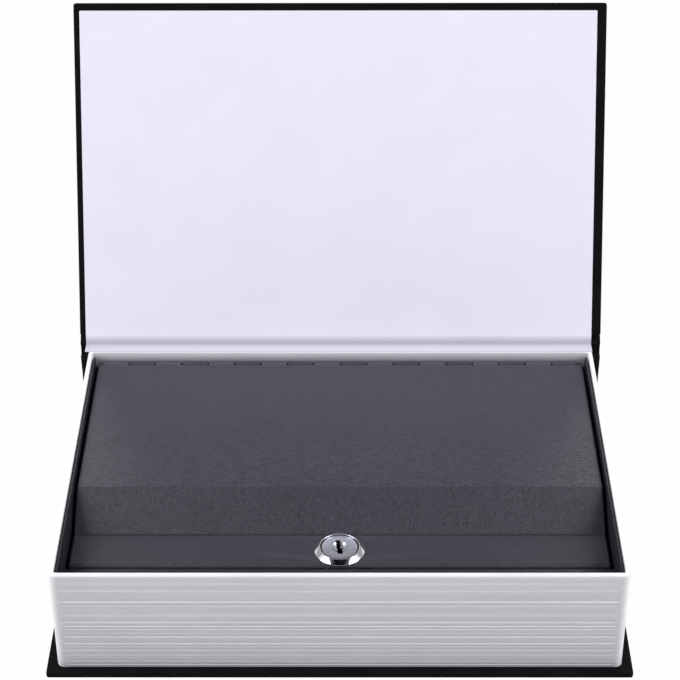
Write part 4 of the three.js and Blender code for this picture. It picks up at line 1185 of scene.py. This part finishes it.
def lid():
    half = SHEET / 2
    top = lid_high.z
    plate_rear = lid_axis.y - KNUCKLE_RADIUS - PLATE_CLEARANCE
    line = bent_line([
        (plate_rear, top - half),
        (riser_rear, top - half),
        (shelf_rear, shelf_z - half),
        (lid_front + half, shelf_z - half),
        (lid_front + half, shelf_z - half - LID_FRONT_FLANGE),
    ], BEND, 10)[::-1]
    side = lid_high.x - LID_SIDE_SHY
    shells = [sweep(lid_sheet_profile(side), line)]

    # The side flanges hang from the sheet's rolled edges
    seam = BEND - half
    flange_front = lid_front + half + FLANGE_FRONT_GAP
    flange_rear = plate_rear - FLANGE_REAR_GAP
    lowest = shelf_z - half - seam - 0.05 * MM
    upper = [tuple(point - out * seam) for point, out in stations(line)]
    upper = [(y, z) for y, z in upper if z > lowest and y > flange_front]
    upper[-1] = (flange_rear, upper[-1][1])
    lower = bent_line([
        (flange_rear, top - LID_FLANGE),
        (riser_rear, top - LID_FLANGE),
        (shelf_rear, shelf_z - LID_FLANGE),
        (flange_front, shelf_z - LID_FLANGE),
    ], BEND, 6)
    flange = upper + [tuple(point) for point in lower]
    shells += [prism(flange, -side, -side + SHEET), prism(flange, side - SHEET, side)]

    tongue_front = plate_rear - 0.5 * MM
    tongue_foot = top - 0.95 * SHEET
    tongue = [
        (tongue_front, tongue_foot), (lid_axis.y - TONGUE_BEND, tongue_foot),
        (lid_axis.y, top - 0.55 * SHEET), (lid_axis.y, top - TONGUE_STEP),
        (tongue_front, top - TONGUE_STEP),
    ]
    shells += knuckles(0, tongue, 0.05 * MM)
    section = lock_section(BODY_RADIUS + BODY_CLEARANCE, BODY_FLATS / 2 + BODY_CLEARANCE)
    hole = plate(section, shelf_z - 3 * SHEET, shelf_z + SHEET, lock_place[:2])
    relief = slab(
        (-NUT_RELIEF, lid_front - OVERCUT, shelf_z - NUT_RELIEF),
        (NUT_RELIEF, lid_front + 2 * SHEET, shelf_z - SHEET - RELIEF_SETBACK))
    dress("lid_panel", "lid", "lid_pressed", shells, COAT_LOOK, cutters=[hole, relief])


# Cam lock, drawn about its own axis with the shelf's top at height 0
def lock_section(radius, flat, steps=24):
    """A circle with a flat on two sides."""
    cut_off = math.acos(flat / radius) / (math.pi / 2)
    return arc(0, 0, radius, cut_off, 2 - cut_off, steps) + arc(0, 0, radius, 2 + cut_off, 4 - cut_off, steps)


def square_section(size):
    half = size / 2
    return rounded((-half, -half), (half, half), size * SQUARE_CORNER, 6, -1)


def lock_piece(node, body, name, shells, look, cutters=(), **finish):
    def at_lock(shell):
        points, faces = shell
        return [tuple(Vector(point) + lock_place) for point in points], faces

    placed = [at_lock(shell) for shell in shells]
    dress(node, body, name, placed, look, cutters=[at_lock(cutter) for cutter in cutters], **finish)


def lock_heights(node):
    low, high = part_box(node)
    return low.z - lock_place.z, high.z - lock_place.z


def lock_housing():
    """The chrome bezel, the barrel with its wafer grooves and stop lugs, and a black ring round the plug as
    painted shade in its gap.
    """
    bore = PLUG_RADIUS + PLUG_CLEARANCE
    mouth = PLUG_HEAD + PLUG_CLEARANCE
    seat = plug_top - PLUG_HEAD_THICKNESS - PLUG_CLEARANCE
    end = -BODY_LENGTH
    profile = [
        (bore, 0), (BEZEL_RADIUS - 0.15 * MM, 0), (BEZEL_RADIUS, 0.12 * MM),
        (BEZEL_RADIUS, BEZEL_EDGE - 0.1 * MM), (BEZEL_RADIUS - 0.08 * MM, BEZEL_EDGE),
        (BEZEL_FACE + 0.06 * MM, BEZEL_HEIGHT - 0.16 * MM),
    ]
    for across, rise in arc(-BEZEL_LIP, -BEZEL_LIP, BEZEL_LIP, 0, 2, 6):
        profile.append((BEZEL_FACE + across, BEZEL_HEIGHT + 0.6 * rise))
    profile += [(mouth + GAP_SHADE_WIDTH, plug_top), (mouth + GAP_SHADE_WIDTH, seat), (bore, seat)]
    lock_piece("lock_housing", "lid", "lock_bezel", [turned(profile, 128)], CHROME_LOOK, smooth=30)

    groove = WAFER_LENGTH / 2 + WAFER_TRAVEL + 0.3 * MM
    slot = WAFER_WIDTH / 2 + 2 * WAFER_CLEARANCE
    groove_top = seat - 0.6 * MM
    barrel = plate(lock_section(BODY_RADIUS, BODY_FLATS / 2, 32), end, 0.05 * MM)
    cutters = [
        rod(bore, end - OVERCUT, BEZEL_HEIGHT + OVERCUT, 96),
        slab((-slot, -groove, end - OVERCUT), (slot, groove, groove_top)),
        slab((-groove, -slot, end - OVERCUT), (groove, slot, groove_top)),
    ]
    lock_piece("lock_housing", "lid", "lock_barrel", [barrel], CHROME_LOOK, cutters, smooth=30)

    ring = (STOP_TAB_RADIUS + PLUG_RADIUS + WAFER_TRAVEL + 0.6 * MM) / 2
    aside = math.asin(STOP_TAB_HALF / ring) + math.asin(STOP_LUG_RADIUS / ring) + STOP_LUG_CLEARANCE
    lugs = []
    for turn in (math.pi / 2 - aside, math.pi + aside):
        centre = (ring * math.cos(turn), ring * math.sin(turn))
        lugs.append(rod(STOP_LUG_RADIUS, end - STOP_LUG_HEIGHT, end + LAP, 24, centre))
    lock_piece("lock_housing", "lid", "lock_stop_lugs", lugs, CHROME_LOOK, bevel=0.12 * MM)

    # A black ring in the gap round the plug: painted shade where the gap between plug and bezel lies in
    # shadow
    top = plug_top - GAP_SHADE_DROP
    outer = mouth + GAP_SHADE_WIDTH - 0.01 * MM
    gap_shade_ring = turned([
        (mouth, seat), (outer, seat), (outer, top), (mouth + 0.6 * GAP_SHADE_WIDTH, top + GAP_SHADE_EDGE),
        (mouth + 2 * GAP_SHADE_EDGE, top), (mouth, top - GAP_SHADE_EDGE),
    ])
    lock_piece("lock_housing", "lid", "lock_gap_shade_ring", [gap_shade_ring], GAP_SHADE_LOOK)


def wafer_z(index):
    low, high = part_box(f"lock_wafer_{index + 1}")
    return (low.z + high.z) / 2 - lock_place.z


def lock_plug():
    """The plug with its dished face, keyway and wafer slots, and the square tail that carries the cam."""
    neck = plug_top - PLUG_HEAD_THICKNESS
    end = -BODY_LENGTH
    profile = [
        (0, end), (PLUG_RADIUS - 0.2 * MM, end), (PLUG_RADIUS, end + 0.2 * MM), (PLUG_RADIUS, neck),
        (PLUG_HEAD, neck), (PLUG_HEAD, plug_top - 0.18 * MM), (PLUG_HEAD - 0.06 * MM, plug_top - 0.05 * MM),
        (PLUG_HEAD - 0.18 * MM, plug_top),
    ]
    for i in range(9):
        share = i / 8
        radius = DISH_RADIUS * (1 - share * 0.75)
        profile.append((radius, plug_top - DISH_DEPTH * math.sin(share * math.pi / 2)))
    profile.append((0, plug_top - DISH_DEPTH))
    reach = PLUG_RADIUS + OVERCUT
    half = WAFER_WIDTH / 2 + WAFER_CLEARANCE
    thick = WAFER_THICKNESS / 2 + WAFER_CLEARANCE / 2
    cutters = []
    for index in range(WAFER_COUNT):
        z = wafer_z(index)
        cutters.append(slab((-half, -reach, z - thick), (half, reach, z + thick)))
    keyway = [(x * MM, y * MM) for x, y in KEYWAY]
    cutters.append(plate(keyway, wafer_z(WAFER_COUNT - 1) - WAFER_THICKNESS, plug_top + OVERCUT))
    lock_piece("lock_plug", "lock_core", "plug_turned", [turned(profile)], SATIN_LOOK, cutters, smooth=30)

    tail_end = lock_heights("lock_plug")[0]
    tail = plate(square_section(TAIL_SIZE), tail_end, end - LAP)
    hole = rod(TAIL_HOLE, tail_end - OVERCUT, end - TAIL_HOLE_END, 32)
    lock_piece("lock_plug", "lock_core", "plug_tail", [tail], SATIN_LOOK, [hole], bevel=0.1 * MM)


def wafers():
    side = WAFER_WIDTH / 2
    end = WAFER_LENGTH / 2
    chamfer = WAFER_CHAMFER
    outline = [
        (-side + chamfer, -end), (side - chamfer, -end), (side, -end + chamfer), (side, end - chamfer),
        (side - chamfer, end), (-side + chamfer, end), (-side, end - chamfer), (-side, -end + chamfer),
    ]
    for index in range(WAFER_COUNT):
        z = wafer_z(index)
        shift = (index % 3 - 1) * WAFER_STEP
        window = slab(
            (-WINDOW_HALF_WIDTH, shift - WINDOW_HALF_LENGTH, z - OVERCUT),
            (WINDOW_HALF_WIDTH, shift + WINDOW_HALF_LENGTH, z + OVERCUT))
        wafer = plate(outline, z - WAFER_THICKNESS / 2, z + WAFER_THICKNESS / 2)
        lock_piece(
            f"lock_wafer_{index + 1}", f"wafer_{index + 1}", f"wafer_brass_{index + 1}", [wafer], BRASS_LOOK,
            [window], bevel=0.08 * MM)


def washer_and_nut():
    """The toothed washer, flat at the lid's front flange, and the nut that clamps the lock to the shelf."""
    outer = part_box("lock_washer")[1].x
    outline = []
    for i in range(WASHER_TEETH):
        radius = outer if i % 2 == 0 else outer - TOOTH_DEPTH
        turn = math.tau * i / WASHER_TEETH
        outline.append((radius * math.cos(turn), radius * math.sin(turn)))
    far = 2 * BODY_LENGTH
    hole = rod(BODY_RADIUS + WASHER_CLEARANCE, -far, far, 64)
    flange_y = lid_front + SHEET + GLUE - lock_place.y
    flat = slab((-far, flange_y - far, -far), (far, flange_y, far))
    washer = plate(outline, *lock_heights("lock_washer"))
    lock_piece("lock_washer", "lid", "tooth_washer", [washer], ZINC_LOOK, [hole, flat], bevel=0.1 * MM)

    low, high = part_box("lock_nut")
    low_z, high_z = lock_heights("lock_nut")
    half_flats = (high.y - low.y) / 2
    levels = [(low_z + rise, reach) for rise, reach in NUT_FOOT]
    levels += [(high_z + rise, reach) for rise, reach in NUT_HEAD]
    rings = []
    for z, past_flats in levels:
        ring = []
        for i in range(72):
            turn = math.tau * i / 72
            from_flat = (turn - math.pi / 6) % (math.pi / 3) - math.pi / 6
            reach = min(half_flats / math.cos(from_flat), half_flats + past_flats)
            ring.append((reach * math.cos(turn + math.pi / 2), reach * math.sin(turn + math.pi / 2), z))
        rings.append(ring)
    lock_piece("lock_nut", "lid", "hexagon_nut", [loft(rings)], ZINC_LOOK, [hole], smooth=25)


def stop_and_cam():
    """The stop washer with its tab and the cam, both on the plug's square tail."""
    square = plate(square_section(TAIL_SIZE + TAIL_CLEARANCE), -SQUARE_CUT_DEPTH, 0)
    radius = PLUG_RADIUS + STOP_RIM
    tab = STOP_TAB_HALF
    tab_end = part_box("cam_stop_washer")[1].y - lock_place.y
    start = math.asin(tab / radius) / (math.pi / 2)
    outline = [(tab, tab_end), (-tab, tab_end)] + arc(0, 0, radius, 1 + start, 5 - start, 40)
    stop = plate(outline, *lock_heights("cam_stop_washer"))
    lock_piece("cam_stop_washer", "lock_core", "stop_washer", [stop], ZINC_LOOK, [square], bevel=0.1 * MM)

    low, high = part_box("lock_cam")
    reach = lock_place.x - low.x
    tip = CAM_TIP
    corner = 0.4 * tip
    outline = arc(0, 0, (high.y - low.y) / 2, -1, 1, 24) + [(-CAM_WAIST * reach, tip)]
    outline += arc(corner - reach, tip - corner, corner, 1, 2, 6)
    outline += arc(corner - reach, corner - tip, corner, 2, 3, 6)
    outline.append((-CAM_WAIST * reach, -tip))
    cam = plate(outline, *lock_heights("lock_cam"))
    lock_piece(
        "lock_cam", "lock_core", "cam_arm", [cam], ZINC_LOOK, [square], bevel=0.18 * MM, bevel_steps=3)


def cam_screw():
    low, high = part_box("cam_screw")
    low_z, high_z = lock_heights("cam_screw")
    head = (high.x - low.x) / 2
    seat = low_z + SCREW_HEAD
    crown = low_z + SCREW_CROWN_RISE
    profile = [(0, low_z), (head * SCREW_CROWN, crown)]
    for across, rise in arc(0, 1, 1, -1, 0, 8)[1:]:
        profile.append((head * (SCREW_CROWN + (1 - SCREW_CROWN) * across), crown + SCREW_DOME * rise))
    profile += [
        (head, seat - SCREW_EDGE), (head - SCREW_EDGE, seat), (SCREW_SHANK, seat),
        (SCREW_SHANK, high_z - SCREW_TIP), (SCREW_SHANK - SCREW_TIP, high_z), (0, high_z),
    ]
    arm = head * CROSS_REACH
    cross = []
    for x, y in ((CROSS_HALF, arm), (arm, CROSS_HALF)):
        cross.append(slab((-x, -y, low_z - OVERCUT), (x, y, low_z + CROSS_DEPTH)))
    lock_piece("cam_screw", "lock_core", "cross_screw", [turned(profile, 64)], ZINC_LOOK, cross, smooth=30)


# Studio
def staged_sheet(name, half_width, front, rear, level, material):
    """A flat rectangle that isn't part of the safe."""
    data = bpy.data.meshes.new(name)
    corners = [(-half_width, front), (half_width, front), (half_width, rear), (-half_width, rear)]
    data.from_pydata([(x, y, level) for x, y in corners], [], [(0, 1, 2, 3)])
    data.materials.append(material)
    sheet = bpy.data.objects.new(name, data)
    bpy.context.scene.collection.objects.link(sheet)
    return sheet


def backdrop():
    paint = Paint("pale_floor", (FLOOR_SHADE, FLOOR_SHADE, FLOOR_SHADE * 1.02), 0.9)
    paint.set("Specular IOR Level", 0.1)
    paint.shown_white("ShaderNodeEmission", paint.shader.outputs["BSDF"], WHITE_SHARE, "Material Output")
    staged_sheet("floor", FLOOR_HALF_WIDTH, -FLOOR_HALF_WIDTH, FLOOR_HALF_WIDTH, FLOOR_LEVEL, paint.material)

    world = bpy.data.worlds.new("studio")
    bpy.context.scene.world = world
    world.use_nodes = True
    sky = world.node_tree.nodes["Background"]
    sky.inputs["Color"].default_value = (0.96, 0.97, 1.0, 1)
    sky.inputs["Strength"].default_value = SKY_LEVEL
    Nodes(world.node_tree).shown_white("ShaderNodeBackground", sky.outputs["Background"], 1.0, "World Output")


def softbox(name, place, target, size, power):
    data = bpy.data.lights.new(name, "AREA")
    data.shape = "RECTANGLE"
    data.size, data.size_y = size
    data.energy = power
    lamp = bpy.data.objects.new(name, data)
    lamp.location = place
    lamp.rotation_euler = (Vector(target) - Vector(place)).to_track_quat("-Z", "Y").to_euler()
    bpy.context.scene.collection.objects.link(lamp)


def lamps():
    across, back, up = SOFTBOX_PLACE
    for name, side in (("left_softbox", -1), ("right_softbox", 1)):
        softbox(name, (side * across, back, up), SOFTBOX_TARGET, SOFTBOX_SIZE, SOFTBOX_POWER)
    softbox("rear_softbox", REAR_PLACE, REAR_TARGET, REAR_SIZE, REAR_POWER)


def overhead_card(name, half_width, front, rear, glow):
    """A card above the safe, seen only in polished metal and gloss, as over a photographer's table."""
    paint = Paint(name, (0.01, 0.01, 0.011), 1.0)
    paint.set("Specular IOR Level", 0.0)
    paint.set("Emission Color", (1, 1, 1, 1))
    paint.set("Emission Strength", glow)
    card = staged_sheet(name, half_width, front, rear, CARD_HEIGHT, paint.material)
    card.visible_camera = False
    card.visible_diffuse = False
    card.visible_shadow = False


def camera():
    forward = Vector((
        math.sin(CAMERA_YAW) * math.cos(CAMERA_PITCH),
        math.cos(CAMERA_YAW) * math.cos(CAMERA_PITCH),
        -math.sin(CAMERA_PITCH),
    ))
    level = Vector((math.cos(CAMERA_YAW), -math.sin(CAMERA_YAW), 0))
    top = level.cross(forward)
    right = level * math.cos(CAMERA_ROLL) + top * math.sin(CAMERA_ROLL)
    up = top * math.cos(CAMERA_ROLL) - level * math.sin(CAMERA_ROLL)
    data = bpy.data.cameras.new("camera")
    data.sensor_fit = "HORIZONTAL"
    data.sensor_width = SENSOR_WIDTH
    data.lens = FOCAL_LENGTH
    data.shift_x = CAMERA_SHIFT_X
    data.shift_y = CAMERA_SHIFT_Y
    data.clip_start = 0.01
    data.clip_end = 50
    seen = bpy.data.objects.new("camera", data)
    turn = Matrix((right, up, -forward)).transposed().to_4x4()
    seen.matrix_world = Matrix.Translation(CAMERA_PLACE) @ turn
    bpy.context.scene.collection.objects.link(seen)
    bpy.context.scene.camera = seen


camera()
backdrop()
lamps()
overhead_card("dark_card", CARD_HALF_WIDTH, CARD_FRONT, CARD_REAR, 0.0)
overhead_card("grey_card", GREY_CARD_HALF_WIDTH, CARD_REAR, GREY_CARD_REAR, GREY_CARD_LEVEL)
bpy.context.scene.view_settings.view_transform = "Standard"

cover("back", "book", None)
cover("front", "front_cover", standing @ turned_over)
front_endpaper()
spine()
joint_cloth()
joint_paper()
page_block()
rivets()
steel_box()
hinge_leaf()
lid()
lock_housing()
lock_plug()
wafers()
washer_and_nut()
stop_and_cam()
cam_screw()
